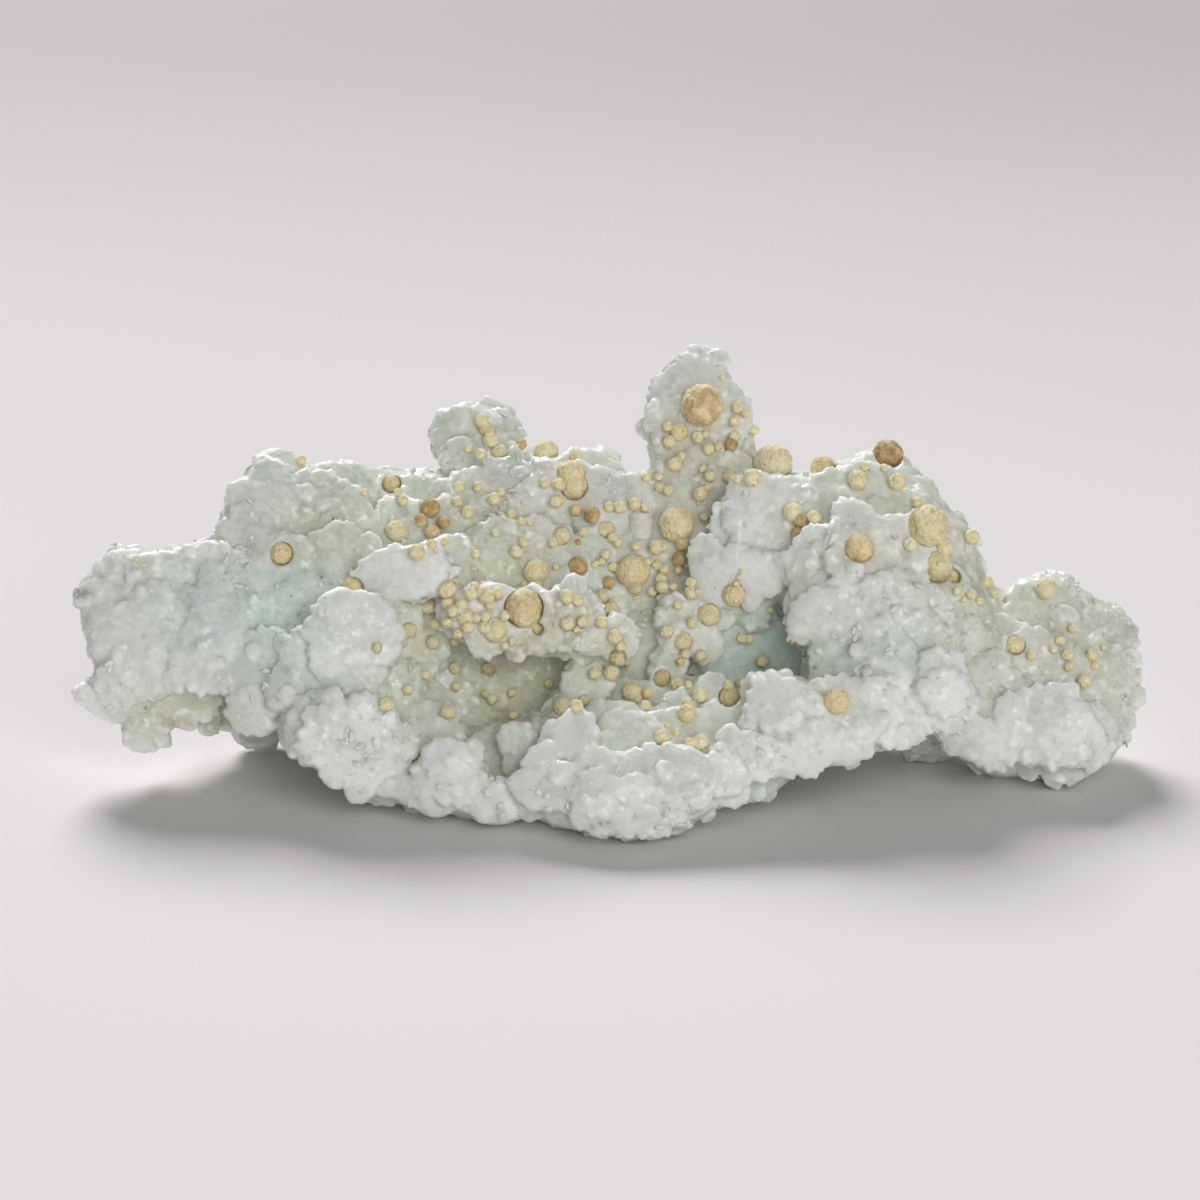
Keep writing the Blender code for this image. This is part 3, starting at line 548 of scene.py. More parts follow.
for x, y, rx, ry, turn, lift, thick, outline, tone in (
        (775, 703, 29, 34, 8, 0.0012, 0.0013, star_rim(9, 0.20, 3), 1.0), (752, 690, 14, 16, 0, 0.0006, 0.0010, star_rim(7, 0.22, 5), 0.9),
        (945, 692, 27, 27, 0, 0.0010, 0.0012, star_rim(11, 0.14, 7), 0.9), (1010, 712, 18, 22, 0, 0.0007, 0.0010, star_rim(8, 0.18, 9), 1.0),
        (354, 628, 52, 40, 0, 0.0007, 0.0013, rim_table(0.005, 0.0036, 0.0014, 0.07, 0.0004), 1.0),
        (402, 573, 52, 27, 6, 0.0009, 0.0013, rim_table(0.005, 0.0030, 0.0012, 0.08, 0.0005), 1.0),
        (446, 758, 27, 22, 0, 0.0010, 0.0012, star_rim(9, 0.14, 11), 1.0), (516, 738, 22, 18, 0, 0.0008, 0.0012, star_rim(8, 0.14, 13), 0.95),
        (575, 735, 24, 30, 0, 0.0009, 0.0012, star_rim(10, 0.12, 15), 1.0), (827, 616, 44, 28, 0, 0.0006, 0.0013, rim_table(0.004, 0.0032, 0.0014, 0.07, 0.0004), 0.95),
        (773, 520, 55, 42, 0, 0.0005, 0.0013, rim_table(0.006, 0.0030, 0.001, 0.09, 0.0005), 1.0), (748, 576, 44, 26, 0, 0.0004, 0.0013, rim_table(0.004, 0.0028, 0.001, 0.09, 0.0005), 0.85),
        (600, 640, 30, 16, 10, 0.0007, 0.0012, rim_table(0.003, 0.0020, 0.001, 0.06, 0.0003), 0.8), (655, 548, 16, 16, 0, 0.0003, 0.0012, rim_table(0.002, 0.0020, 0.001, 0.06, 0.0003), 0.9)):
    u, v = (x - AXIS_X) * UNIT, (AXIS_Y - y) * UNIT
    i, j = int((u + 0.075) / 0.0005), int((v + 0.035) / 0.0005)
    stamp(heights, u, v, float(np.median(heights[i - 2:i + 3, j - 2:j + 3])), rx * UNIT, ry * UNIT, turn, lift, outline, tone, thick, 0.003, 0.6, 0.0)
note("named plates")
corner, area, facing = surface(3)
lively = np.array([max(0.0, math.sin(c[0] * 310.0 + 1.0) * math.sin(c[1] * 270.0 + 2.0) + math.sin(c[2] * 330.0 + c[0] * 120.0) * 0.6) for c in corner.mean(1)])
grow_plates(900, 0.15 + lively ** 1.5, 0.0004, 0.0011, 1.5, (0.4, 0.7), 0.25, 0.00005, 0.0003, small_rims, 0.0022, 0.1)
note(f"{len(plates)} plates")

# ---------------------------------------------------------------- the larger balls, where the CAD nodes are
# node, colour, (x, y, radius in units[, flattening across, forward in mm]) for each grown-together ball
BALLS = [
    ("gyrolite_finger_ball", "peach", [(702, 405, 21)]),
    ("gyrolite_saddle_ball", "cream", [(773, 464, 20, 1.0, -8.0)]),
    ("gyrolite_crest_cluster", "cream", [(927, 526, 21), (945, 547, 9), (937, 567, 16), (952, 577, 8)]),
    ("gyrolite_shelf_ball", "ochre", [(524, 608, 20, 0.92), (538, 629, 6)]),
    ("gyrolite_rib_ball", "ochre", [(677, 524, 17.5), (683, 545, 7)]),
    ("gyrolite_centre_ball", "ochre", [(633, 571, 17), (635, 588, 7)]),
    ("gyrolite_twin_ball", "ochre", [(571, 474, 14), (574, 487, 14)]),
    ("gyrolite_wing_spotted_ball", "peach", [(859, 549, 14)]),
    ("gyrolite_crest_brown_ball", "brown", [(888, 454, 15, 1.0, -9.0)]),
    ("gyrolite_slope_nubbed_ball", "ochre", [(536, 571, 12.5), (538, 585, 5)]),
    ("gyrolite_back_ball", "cream", [(546, 452, 13, 1.0, -15.0)]),
    ("gyrolite_shelf_left_ball", "cream", [(494, 630, 12)]),
    ("gyrolite_lower_right_ball", "peach", [(837, 701, 12.5)]),
    ("gyrolite_left_wing_ball", "peach", [(282, 554, 12)]),
    ("gyrolite_left_wing_sunk_ball", "peach", [(353, 588, 11)]),
    ("gyrolite_hollow_upper_ball", "ochre", [(734, 595, 11.5)]),
    ("gyrolite_hollow_middle_ball", "ochre", [(709, 615, 11.5)]),
    ("gyrolite_hollow_floor_ball", "peach", [(729, 697, 11)]),
    ("gyrolite_crest_left_ball", "peach", [(823, 468, 13, 1.0, -9.0)]),
    ("gyrolite_wing_upper_ball", "cream", [(793, 513, 10)]),
    ("gyrolite_left_crest_ball", "peach", [(392, 484, 10)]),
    ("gyrolite_left_slope_ball", "cream", [(397, 531, 11)]),
    ("gyrolite_left_brown_ball", "brown", [(430, 508, 10)]),
    ("gyrolite_slope_ball", "ochre", [(562, 536, 9.5)]),
    ("gyrolite_front_ball", "cream", [(563, 707, 9.5)]),
    ("gyrolite_crest_front_ball", "cream", [(858, 480, 10)]),
    ("gyrolite_blob_top_ball", "cream", [(1046, 588, 10.5)]),
    ("gyrolite_neck_ball", "ochre", [(1015, 645, 10)]),
    ("gyrolite_floor_pair", "cream", [(687, 713, 9), (687, 703, 6)]),
    ("gyrolite_rib_low_ball", "ochre", [(683, 642, 9.5)]),
    ("gyrolite_slope_brown_ball", "brown", [(578, 566, 10)]),
    ("gyrolite_upper_small_ball", "cream", [(606, 530, 8.5)]),
    ("gyrolite_finger_low_ball", "peach", [(679, 432, 9)]),
    ("gyrolite_veiled_pair", "peach", [(397, 639, 11), (409, 630, 8)]),
    ("gyrolite_rib_foot_ball", "peach", [(662, 678, 8.5)]),
    ("gyrolite_shelf_small_ball", "cream", [(466, 618, 9)]),
    ("gyrolite_front_upper_ball", "cream", [(632, 692, 10)]),
    ("gyrolite_knob_ball", "cream", [(487, 429, 8.5)]),
    ("gyrolite_knob_low_ball", "cream", [(500, 453, 9)]),
    ("gyrolite_ledge_edge_ball", "ochre", [(618, 658, 8.5)]),
    ("gyrolite_rim_pair", "cream", [(700, 742, 8), (690, 743, 6)]),
]



def ball_place(node, x, y, radius, squeeze):
    """Where a ball of a CAD node is: the forward offset whose sphere the node's corners lie on best."""
    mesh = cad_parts[node].data
    co = np.empty(len(mesh.vertices) * 3, np.float32)
    mesh.vertices.foreach_get("co", co)
    co = co.reshape(-1, 3).astype(float)
    axes = np.array((RIGHT / squeeze, UP, FORWARD / squeeze)).T / radius
    best = (-1.0, None)
    middle = (co.mean(0) - np.array(ORIGIN)) @ FORWARD * 1000.0
    for w in np.arange(middle - 5.0, middle + 5.0, 0.05):
        centre = place(x, y, w)
        off = np.abs(np.linalg.norm((co - centre) @ axes, axis=1) - 1.0)
        fit = np.maximum(0.0, 1.0 - off / 0.05).sum()
        if fit > best[0]:
            best = (fit, centre)
    return best[1]


def value_at(field, points, step=H, base=BASE):
    """The field's value at each point, blended between voxels."""
    at = (np.asarray(points, float) - base) / step
    low = np.clip(np.floor(at).astype(int), 0, np.array(field.shape) - 2)
    t = np.clip(at - low, 0.0, 1.0)
    out = np.zeros(len(at))
    for i in (0, 1):
        for j in (0, 1):
            for k in (0, 1):
                share = (t[:, 0] if i else 1 - t[:, 0]) * (t[:, 1] if j else 1 - t[:, 1]) * (t[:, 2] if k else 1 - t[:, 2])
                out += share * field[low[:, 0] + i, low[:, 1] + j, low[:, 2] + k]
    return out


big = []        # node, colour, [(centre, radius, squeeze), ...]
for node, colour, cluster in BALLS:
    group = []
    for ball in cluster:
        x, y, r = ball[:3]
        squeeze = ball[3] if len(ball) > 3 else 1.0
        group.append((ball_place(node, x, y, r * UNIT, squeeze), r * UNIT, squeeze))
    big.append((node, colour, group))
note("ball places")

# the crust reaches under each of them, and gives way in front
for node, colour, group in big:
    for centre, radius, squeeze in group:
        depth = float(value_at(field, [centre])[0]) / radius
        if depth > 0.45:
            add_lobe(centre - FORWARD * radius * 0.85 - UP * radius * 0.25, turned(0), (radius * 1.05, radius * 0.9, radius * 0.75), reach=0.0006)
        else:
            for step in np.arange(0.15, 2.6, 0.25):
                add_lobe(centre + FORWARD * radius * step, turned(0), (radius * (0.96 + 0.05 * step),) * 3, cut=True, reach=0.0003)
note("seats")



field += waves(8, 0.00008)
field += waves(3, 0.00003)
note("waves")

# the flat cut underneath
np.maximum(field, (-AX[2])[None, None, :], out=field)
field[:, :, 0] = FAR

points, tris = mesh_field(field, H, BASE)
all_surface = points[::4].copy()
note(f"full surface {len(tris)} facets")

# facets are thinned in a space that shrinks towards the back, so that the display side keeps more of them
SHRINK_FROM, SHRINK_RATE = -0.010, 32.0
MIDDLE = np.array(ORIGIN)


def to_thinning_space(p):
    q = p - MIDDLE
    u, v, w = q @ RIGHT, q @ UP, q @ FORWARD
    back = np.minimum(w - SHRINK_FROM, 0.0)
    g = 1.0 + SHRINK_RATE * back
    return np.stack([u * g, v * g, w + SHRINK_RATE * back ** 2 / 2], -1)


def from_thinning_space(q):
    back = np.minimum(q[:, 2] - SHRINK_FROM, 0.0)
    back = (np.sqrt(np.maximum(0.0, 1.0 + 2.0 * SHRINK_RATE * back)) - 1.0) / SHRINK_RATE
    g = 1.0 + SHRINK_RATE * back
    w = np.where(back < 0, SHRINK_FROM + back, q[:, 2])
    return MIDDLE + (q[:, :1] / g[:, None]) * RIGHT + (q[:, 1:2] / g[:, None]) * UP + w[:, None] * FORWARD


raw = new_object("raw_crust", new_mesh("raw_crust", to_thinning_space(points), tris))
fine = raw.modifiers.new("fine", "DECIMATE")
fine.ratio = min(1.0, 195000 / len(tris))
fine.use_collapse_triangulate = True
graph = bpy.context.evaluated_depsgraph_get()
crust_mesh = bpy.data.meshes.new_from_object(raw.evaluated_get(graph), depsgraph=graph)
bpy.data.objects.remove(raw, do_unlink=True)
crust_mesh.name = "prehnite"
thinned = np.empty(len(crust_mesh.vertices) * 3, np.float32)
crust_mesh.vertices.foreach_get("co", thinned)
crust_mesh.vertices.foreach_set("co", from_thinning_space(thinned.reshape(-1, 3).astype(float)).astype(np.float32).ravel())
crust_mesh.update()
crust_mesh.validate()  # the thinning can fold two triangles onto each other
crust = new_object("prehnite", crust_mesh)
note(f"decimated to {len(crust_mesh.polygons)}")

# ---------------------------------------------------------------- masks on the crust: rims for painted highlights, hollows and creases for painted shade, thin parts
count = len(crust_mesh.vertices)
co = np.empty(count * 3, np.float32)
crust_mesh.vertices.foreach_get("co", co)
co = co.reshape(-1, 3).astype(float)


# occupancy blurred at three scales: the rim mask is low on convex rims and is used to paint highlights; the broad one
# is high in creases and is used to paint shade
solid = np.clip(0.5 - field / np.float32(2 * H), 0, 1)
near = blurred(solid, 2)
rim_mask = 0.5 - value_at(near, co)
coarse = solid[::2, ::2, ::2]
broad = blurred(coarse, 3)
crease_shade_mask = value_at(broad, co, 2 * H)
wide = blurred(coarse[::2, ::2, ::2], 4)
wide_mask = value_at(wide, co, 4 * H)
note(f"masks: rim {np.percentile(rim_mask, (5, 50, 95)).round(3)} broad {np.percentile(crease_shade_mask, (5, 50, 95)).round(3)} wide {np.percentile(wide_mask, (5, 50, 95)).round(3)}")


def mask(mesh, name, values):
    layer = mesh.attributes.new(name, "FLOAT", "POINT")
    layer.data.foreach_set("value", np.asarray(values, np.float32))


def patch(points, x, y, w, rx, ry, rw):
    """1 in the middle of a soft ellipsoid on the layout grid, falling to 0 at its edge and beyond."""
    d = points - place(x, y, w)
    q = (d @ RIGHT / (rx * UNIT)) ** 2 + (d @ UP / (ry * UNIT)) ** 2 + (d @ FORWARD / (rw * 0.001)) ** 2
    return np.clip(1.0 - q, 0, 1) ** 2 * (3 - 2 * np.clip(1.0 - q, 0, 1))


normal = np.empty(count * 3, np.float32)
crust_mesh.vertex_normals.foreach_get("vector", normal)
normal = normal.reshape(-1, 3).astype(float)
cell = np.clip(np.round((co - normal * 0.00012 - BASE) / H).astype(int), 0, np.array(SIZE) - 1)
who = owner[cell[:, 0], cell[:, 1], cell[:, 2]]
tone = np.full(count, 0.35)
edge = np.zeros(count)
order = np.argsort(who, kind="stable")
starts = np.searchsorted(who[order], np.arange(len(plates) + 1))
for k, (centre, axes, half, rim, shade) in enumerate(plates):
    group = order[starts[k]:starts[k + 1]]
    if len(group) == 0:
        continue
    q = (co[group] - centre) @ (axes / half[:, None]).T
    turn = (np.arctan2(q[:, 1], q[:, 0]) * len(rim) / (2 * math.pi)).astype(int) % len(rim)
    out = np.hypot(q[:, 0], q[:, 1]) / rim[turn]
    size = math.sqrt(half[0] * half[1])
    # edge: nearness to the plate's outline, used to paint bright lines along it
    edge[group] = np.clip(1.0 - (1.0 - out) * size / 0.0005, 0, 1)
    tone[group] = shade
note(f"tones, {(who < 0).mean():.2f} of the corners on bare bulk")


front_map = np.full((300, 140), -0.04)
i, j, w = layout_cells(all_surface)
np.maximum.at(front_map, (i, j), w)
near_front = softened(widest(front_map, 4), 2)
far_front = softened(widest(front_map, 11), 6)


def tints(points):
    """How teal and how olive the crust is at each point, and how far it lies recessed behind the surface in front,
    which is painted darker as shade.
    """
    i, j, w = layout_cells(points)
    # recess_shade: depth behind the nearby front surface, used to paint shade in the hollows
    near_gap = np.clip((near_front[i, j] - w) / 0.0035, 0, 1)
    far_gap = np.clip((far_front[i, j] - w) / 0.0110, 0, 1)
    hidden = np.clip((far_front[i, j] - w - 0.014) / 0.006, 0, 1)
    recess_shade = (0.45 * near_gap + 0.75 * far_gap) * (1 - 0.6 * hidden)
    # teal and olive patches: partly the mineral's own tints, partly painted shade colour in the hollows and under the
    # overhangs
    teal = np.zeros(len(points))
    for p in ((245, 610, 4, 130, 80, 16, 0.9), (300, 650, 8, 90, 60, 12, 0.6), (770, 650, -6, 90, 60, 12, 1.0), (830, 640, 2, 60, 70, 10, 0.7),
              (600, 600, -8, 90, 80, 10, 0.5), (700, 790, 14, 120, 40, 12, 0.25), (885, 650, 8, 60, 60, 10, 0.5)):
        teal = np.maximum(teal, p[6] * patch(points, *p[:6]))
    olive = np.zeros(len(points))
    for p in ((520, 700, -4, 120, 70, 18, 1.0), (320, 530, -2, 90, 60, 14, 0.6), (410, 650, 0, 60, 80, 14, 0.9), (190, 718, 4, 95, 36, 12, 1.2),
              (640, 810, 10, 140, 40, 16, 0.5), (500, 560, -6, 110, 90, 16, 0.7), (700, 460, -12, 70, 110, 14, 0.9), (540, 632, 4, 120, 56, 18, 1.5),
              (900, 560, 0, 130, 100, 16, 0.6), (1080, 640, -4, 90, 70, 14, 0.55), (990, 620, -4, 60, 60, 12, 0.7), (660, 620, -2, 60, 90, 14, 0.5)):
        olive = np.maximum(olive, p[6] * patch(points, *p[:6]))
    return teal, olive, recess_shade


MARKS = [    # x, y, half width, half height, turn, strength
    (80, 594, 13, 3.0, 8, 0.9), (74, 588, 5, 2.5, 30, 0.8), (321, 579, 2.2, 4.5, -20, 0.9), (146, 708, 4.0, 2.2, 20, 0.7), (390, 571, 3.0, 2.0, 0, 0.7),
    (852, 526, 3.4, 2.6, 10, 0.85), (820, 478, 2.4, 2.0, 0, 0.9), (829, 478, 2.2, 2.0, 0, 0.9), (815, 667, 2.6, 2.0, 0, 0.8), (600, 824, 14, 3.0, -12, 0.55),
    (612, 836, 10, 2.6, -10, 0.6), (632, 841, 5, 2.6, 0, 0.9), (430, 598, 17, 2.2, -6, 0.6), (314, 720, 3, 2, 0, 0.6), (360, 792, 3, 2, 0, 0.6),
    (310, 700, 2.5, 2.0, 0, 0.6), (298, 616, 2.2, 2.0, 0, 0.6), (228, 690, 2.4, 2.0, 0, 0.5), (884, 690, 2.2, 1.8, 0, 0.6), (700, 777, 2.4, 1.8, 0, 0.5)]


def dirt(points):
    """How dark the dirt is at each point that faces the layout's eye."""
    q = points - np.array(ORIGIN)
    w = q @ FORWARD
    fan = (EYE - w) / EYE
    x, y = q @ RIGHT / fan / UNIT + AXIS_X, AXIS_Y - q @ UP / fan / UNIT
    i, j, w = layout_cells(points)
    ahead = np.clip(1.0 - (front_map[i, j] - w - 0.0015) / 0.001, 0, 1)
    out = np.zeros(len(points))
    for mx, my, rx, ry, turn, strength in MARKS:
        t = math.radians(turn)
        a, b = (x - mx) * math.cos(t) + (y - my) * math.sin(t), (y - my) * math.cos(t) - (x - mx) * math.sin(t)
        out = np.maximum(out, strength * np.clip(1.6 - 1.2 * np.hypot(a / rx, b / ry), 0, 1))
    return out * ahead


teal, olive, recess_shade = tints(co)
mask(crust_mesh, "dirt", dirt(co))
# recess_shade is painted shade: darker, greener colour deep in the hollows
mask(crust_mesh, "recess_shade", recess_shade)
# rim and edge whiten convex rims and plate outlines: partly the paler crystal edges, partly painted highlight where
# thin edges catch the light
mask(crust_mesh, "rim", np.clip(rim_mask / 0.22, -1, 1))
mask(crust_mesh, "edge", edge)
mask(crust_mesh, "tone", tone)
# bulk: high in creases, where the material paints shade
mask(crust_mesh, "bulk", crease_shade_mask)
mask(crust_mesh, "wide", wide_mask)
mask(crust_mesh, "teal", teal)
mask(crust_mesh, "olive", olive)
crust_mesh.shade_smooth()
note("crust masks")

# ---------------------------------------------------------------- gyrolite balls
COLOUR_CODE = {"v": -1.0, "cream": 0.0, "c": 0.0, "ochre": 0.35, "o": 0.35, "peach": 0.6, "p": 0.6, "brown": 1.0, "b": 1.0}


def ball_skin(directions, seed, bumps, height):
    """How far a ball's skin stands above its sphere, in radii, along unit directions: low rounded bumps of radiating sprays."""
    r = np.random.default_rng(seed)
    k = np.arange(bumps)
    z = 1.0 - (2.0 * k + 1.0) / bumps
    flat = np.sqrt(1.0 - z * z)
    heads = np.stack([np.cos(k * 2.39996) * flat, np.sin(k * 2.39996) * flat, z], -1) + r.normal(size=(bumps, 3)) * 0.7 / math.sqrt(bumps)
    turn = np.linalg.qr(r.normal(size=(3, 3)))[0]
    heads = heads @ turn
    heads /= np.linalg.norm(heads, axis=1)[:, None]
    spread = 0.95 / math.sqrt(bumps) * r.uniform(0.75, 1.35, bumps)
    rise = r.uniform(0.0, 0.9, bumps)
    out = np.full(directions.shape[:-1], -1.0, np.float32)
    for head, s, up in zip(heads, spread, rise):
        d2 = 2.0 - 2.0 * (directions @ head)
        np.maximum(out, 1.0 + up * 0.5 - d2 / (4.0 * s * s), out=out)
    return height * np.clip(out, -0.8, 1.5)


def ball_mesh(name, group, seed, fine):
    """One closed skin round one or more overlapping balls, meshed from a small field of its own."""
    radius = group[0][1]
    step = radius / fine
    lo = np.min([c - 1.25 * r for c, r, s in group], axis=0)
    hi = np.max([c + 1.25 * r for c, r, s in group], axis=0)
    shape = np.ceil((hi - lo) / step).astype(int) + 2
    grid = np.stack(np.meshgrid(*[lo[i] + step * np.arange(shape[i]) for i in range(3)], indexing="ij"), -1)
    own = np.full(tuple(shape), radius, np.float32)
    for k, (centre, r, squeeze) in enumerate(group):
        off = grid - centre
        off = np.stack([off @ RIGHT / squeeze, off @ UP, off @ FORWARD / squeeze], -1)
        length = np.linalg.norm(off, axis=-1) + 1e-9
        way = off / length[..., None]
        skin = ball_skin(way, seed * 7 + k, 14, 0.035) + ball_skin(way, seed * 7 + k + 3, 70, 0.032) + ball_skin(way, seed * 7 + k + 5, 300, 0.028) - 0.035
        np.minimum(own, (length - r * (0.98 + skin)).astype(np.float32), out=own)
    own[0], own[-1], own[:, 0], own[:, -1], own[:, :, 0], own[:, :, -1] = (radius,) * 6
    points, tris = mesh_field(own, step, lo)
    return points, tris, np.min([np.linalg.norm(points - c, axis=1) / r - 1.0 for c, r, s in group], axis=0)


ball_objects = []
for k, (node, colour, group) in enumerate(big):
    points, tris, relief = ball_mesh(node, group, 100 + k, 16 if group[0][1] > 0.0014 else 12)
    mesh = new_mesh(node.replace("gyrolite", "ball"), points, tris)
    mask(mesh, "kind", np.full(len(points), COLOUR_CODE["v" if "veiled" in node else colour]))
    centre = np.mean([c for c, r, s in group], axis=0)
    # up and relief: height on the ball and on its skin, used to paint shade on the lower side and between bumps
    mask(mesh, "up", (points - centre)[:, 2] / group[0][1])
    mask(mesh, "relief", relief / 0.06)
    mask(mesh, "seed", np.full(len(points), (k * 0.377) % 1.0))
    mesh.shade_smooth()
    thing = new_object(node.replace("gyrolite", "ball"), mesh)
    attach(thing, "root")
    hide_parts(node)
    ball_objects.append(thing)
note(f"{len(big)} larger balls, {sum(len(o.data.polygons) for o in ball_objects)} facets")

SMALL = [
(137,559,3,"c"),(300,462,5,"p"),(363,493,4,"c"),(398,494,4,"c"),(403,502,5,"c"),(420,523,6,"b"),(443,524,6,"b"),
(432,535,7,"b"),(430,546,5,"o"),(418,553,8,"c"),(444,543,4,"o"),(444,586,8,"c"),(454,581,3,"c"),(430,605,8,"v"),
(432,644,6,"v"),(436,623,5,"v"),(377,648,5,"v"),(474,555,4,"c"),(473,568,3,"c"),(459,488,5,"c"),(457,503,5,"c"),
(467,514,6,"c"),(478,488,5,"c"),(494,500,6,"c"),(501,493,4,"c"),(468,450,4,"c"),(482,422,7,"c"),(490,442,7,"c"),
(483,457,6,"c"),(520,446,5,"b"),(520,412,6.5,"p"),(558,486,6,"c"),(545,484,5,"c"),(556,502,7,"c"),(575,458,6,"o"),
(511,516,6,"c"),(520,523,4,"c"),(530,524,3,"c"),(495,534,4,"c"),(515,553,6,"c"),(523,543,5,"c"),(553,543,5,"c"),
(576,512,6,"b"),(583,533,5,"c"),(578,543,3,"b"),(556,568,3,"c"),(608,508,5,"c"),(620,508,6,"c"),(635,505,6,"c"),
(645,508,4,"c"),(612,538,5,"c"),(617,544,5,"c"),(636,547,5,"c"),(605,555,5,"c"),(602,563,4,"c"),(595,565,4,"c"),
(612,567,5,"c"),(655,550,7,"c"),(663,548,4,"c"),(648,563,5,"c"),(656,565,5,"c"),(665,571,5,"c"),(680,560,7,"b"),
(679,571,4,"c"),(607,583,6,"b"),(601,597,6.5,"c"),(611,610,7,"c"),(610,603,4,"c"),(662,580,6,"c"),(664,588,6,"c"),
(653,592,5.5,"c"),(674,588,4,"c"),(693,582,5,"c"),(693,595,7,"c"),(699,592,4,"c"),(678,605,4,"c"),(669,632,6,"c"),
(690,624,5.5,"c"),(701,655,6,"c"),(685,653,5,"o"),(680,663,4,"b"),(742,638,5,"c"),(748,639,5,"c"),(769,610,3,"c"),
(762,661,6,"p"),(791,642,2,"b"),(668,427,5,"c"),(670,442,6,"c"),(698,438,6,"c"),(706,435,4,"c"),(711,450,6,"c"),
(719,448,4,"c"),(683,457,5,"c"),(675,465,7,"c"),(734,436,6,"c"),(731,447,6,"b"),(734,422,5,"c"),(738,408,6,"c"),
(745,413,5,"c"),(751,430,5,"c"),(722,378,3,"c"),(703,470,4,"c"),(711,477,6,"c"),(707,486,4,"c"),(701,495,7,"c"),
(728,478,6.5,"c"),(737,480,4,"c"),(660,477,4,"c"),(661,488,5,"c"),(669,491,5,"c"),(645,479,5,"c"),(705,518,5,"c"),
(698,504,2,"c"),(471,594,6,"c"),(481,594,6,"c"),(487,598,7,"c"),(497,594,5.5,"c"),(463,604,6,"c"),(460,611,6,"c"),
(459,631,5,"c"),(468,628,6,"c"),(476,618,5,"c"),(485,617,5,"c"),(482,627,6,"c"),(504,617,5,"c"),(504,645,4,"c"),
(567,598,7,"c"),(578,601,5,"c"),(567,624,7,"c"),(582,622,5.5,"c"),(576,630,3,"c"),(600,623,6,"c"),(613,636,7,"c"),
(620,646,5,"c"),(623,652,6,"c"),(627,662,5,"c"),(453,669,6,"c"),(487,669,6,"p"),(456,687,5,"c"),(485,694,4,"p"),
(492,699,5,"c"),(512,693,4,"p"),(423,675,5,"c"),(407,690,5,"c"),(387,705,7,"c"),(447,714,7,"c"),(514,718,5,"p"),
(549,684,5,"c"),(595,675,6,"c"),(610,675,7,"c"),(578,709,6,"c"),(584,702,5,"c"),(678,687,6,"c"),(688,687,4,"c"),
(701,696,7,"c"),(727,685,5,"c"),(740,683,5,"c"),(660,738,6.5,"c"),(676,733,4,"c"),(667,726,2.5,"c"),(648,694,6,"c"),
(638,700,5,"c"),(644,708,5,"c"),(800,522,6,"b"),(797,534,6,"b"),(813,519,7,"c"),(865,468,4,"c"),(884,469,4,"c"),
(916,504,6,"c"),(912,546,6,"c"),(969,538,7,"c"),(985,584,6,"c"),(956,592,4,"c"),(962,598,3,"c"),(972,594,5,"c"),
(978,602,4,"c"),(993,598,4,"c"),(1031,656,5,"c"),(1060,643,5,"c"),(1053,650,4,"c"),(1067,656,5.5,"c"),(1068,667,5,"c"),
(1090,656,6,"c"),(1093,665,4,"c"),(1083,682,7,"c"),(1072,630,4,"c"),(1103,648,3,"c"),(752,481,9,"c"),(592,517,8,"b"),
(895,485,8,"c"),(736,583,3.4,"o"),(739,577,2.6,"o"),(741,571,2.0,"o"),(524,586,3,"c"),(449,603,6,"c"),(453,612,6,"c"),(448,622,5,"c"),(455,640,4,"c"),
(474,588,5,"c"),(492,606,4,"c"),(512,640,4,"c")
]

tree = BVHTree.FromPolygons([Vector(c) for c in co], [tuple(p.vertices) for p in crust_mesh.polygons])
note("tree")


def seat_at(x, y):
    """Where the sight line through a layout point meets the crust, and the way the crust faces there."""
    eye = Vector(place(AXIS_X, AXIS_Y, EYE * 1000.0))
    far = Vector(place(x, y, -60.0))
    hit, normal, index, distance = tree.ray_cast(eye, (far - eye).normalized())
    return hit, normal, (eye - far).normalized()


bm = bmesh.new()
bmesh.ops.create_icosphere(bm, subdivisions=4, radius=1.0)
unit_ball = np.array([v.co for v in bm.verts])
unit_ball /= np.linalg.norm(unit_ball, axis=1)[:, None]
unit_tris = np.array([[v.index for v in f.verts] for f in bm.faces])
bm.free()
bm = bmesh.new()
bmesh.ops.create_icosphere(bm, subdivisions=3, radius=1.0)
plain_ball = np.array([v.co for v in bm.verts])
plain_ball /= np.linalg.norm(plain_ball, axis=1)[:, None]
plain_tris = np.array([[v.index for v in f.verts] for f in bm.faces])
bm.free()

all_points, all_tris, all_kind, all_up, all_seed, all_relief = [], [], [], [], [], []
total = 0
ball_rng = np.random.default_rng(5)
for k, (x, y, r, letter) in enumerate(SMALL):
    hit, normal, back = seat_at(x, y)
    if hit is None:
        print("no seat for", x, y)
        continue
    radius = r * UNIT * 1.05
    shell, faces = (unit_ball, unit_tris) if r >= 6 else (plain_ball, plain_tris)
    centre = np.array(hit) + np.array(normal * 0.55 + back * 0.25) * radius
    skin = ball_skin(shell, 900 + k, 9, 0.08) + ball_skin(shell, 1900 + k, 40, 0.045) - 0.03
    stretch = ball_rng.uniform(0.92, 1.06, 3)
    pts = centre + shell * (0.98 + skin)[:, None] * radius * stretch
    all_points.append(pts)
    all_tris.append(faces + total)
    total += len(pts)
    all_kind.append(np.full(len(pts), COLOUR_CODE[letter]))
    all_up.append(shell[:, 2])
    all_relief.append(skin / 0.08)
    all_seed.append(np.full(len(pts), ball_rng.random()))
mesh = new_mesh("small_balls", np.concatenate(all_points), np.concatenate(all_tris))
mask(mesh, "kind", np.concatenate(all_kind))
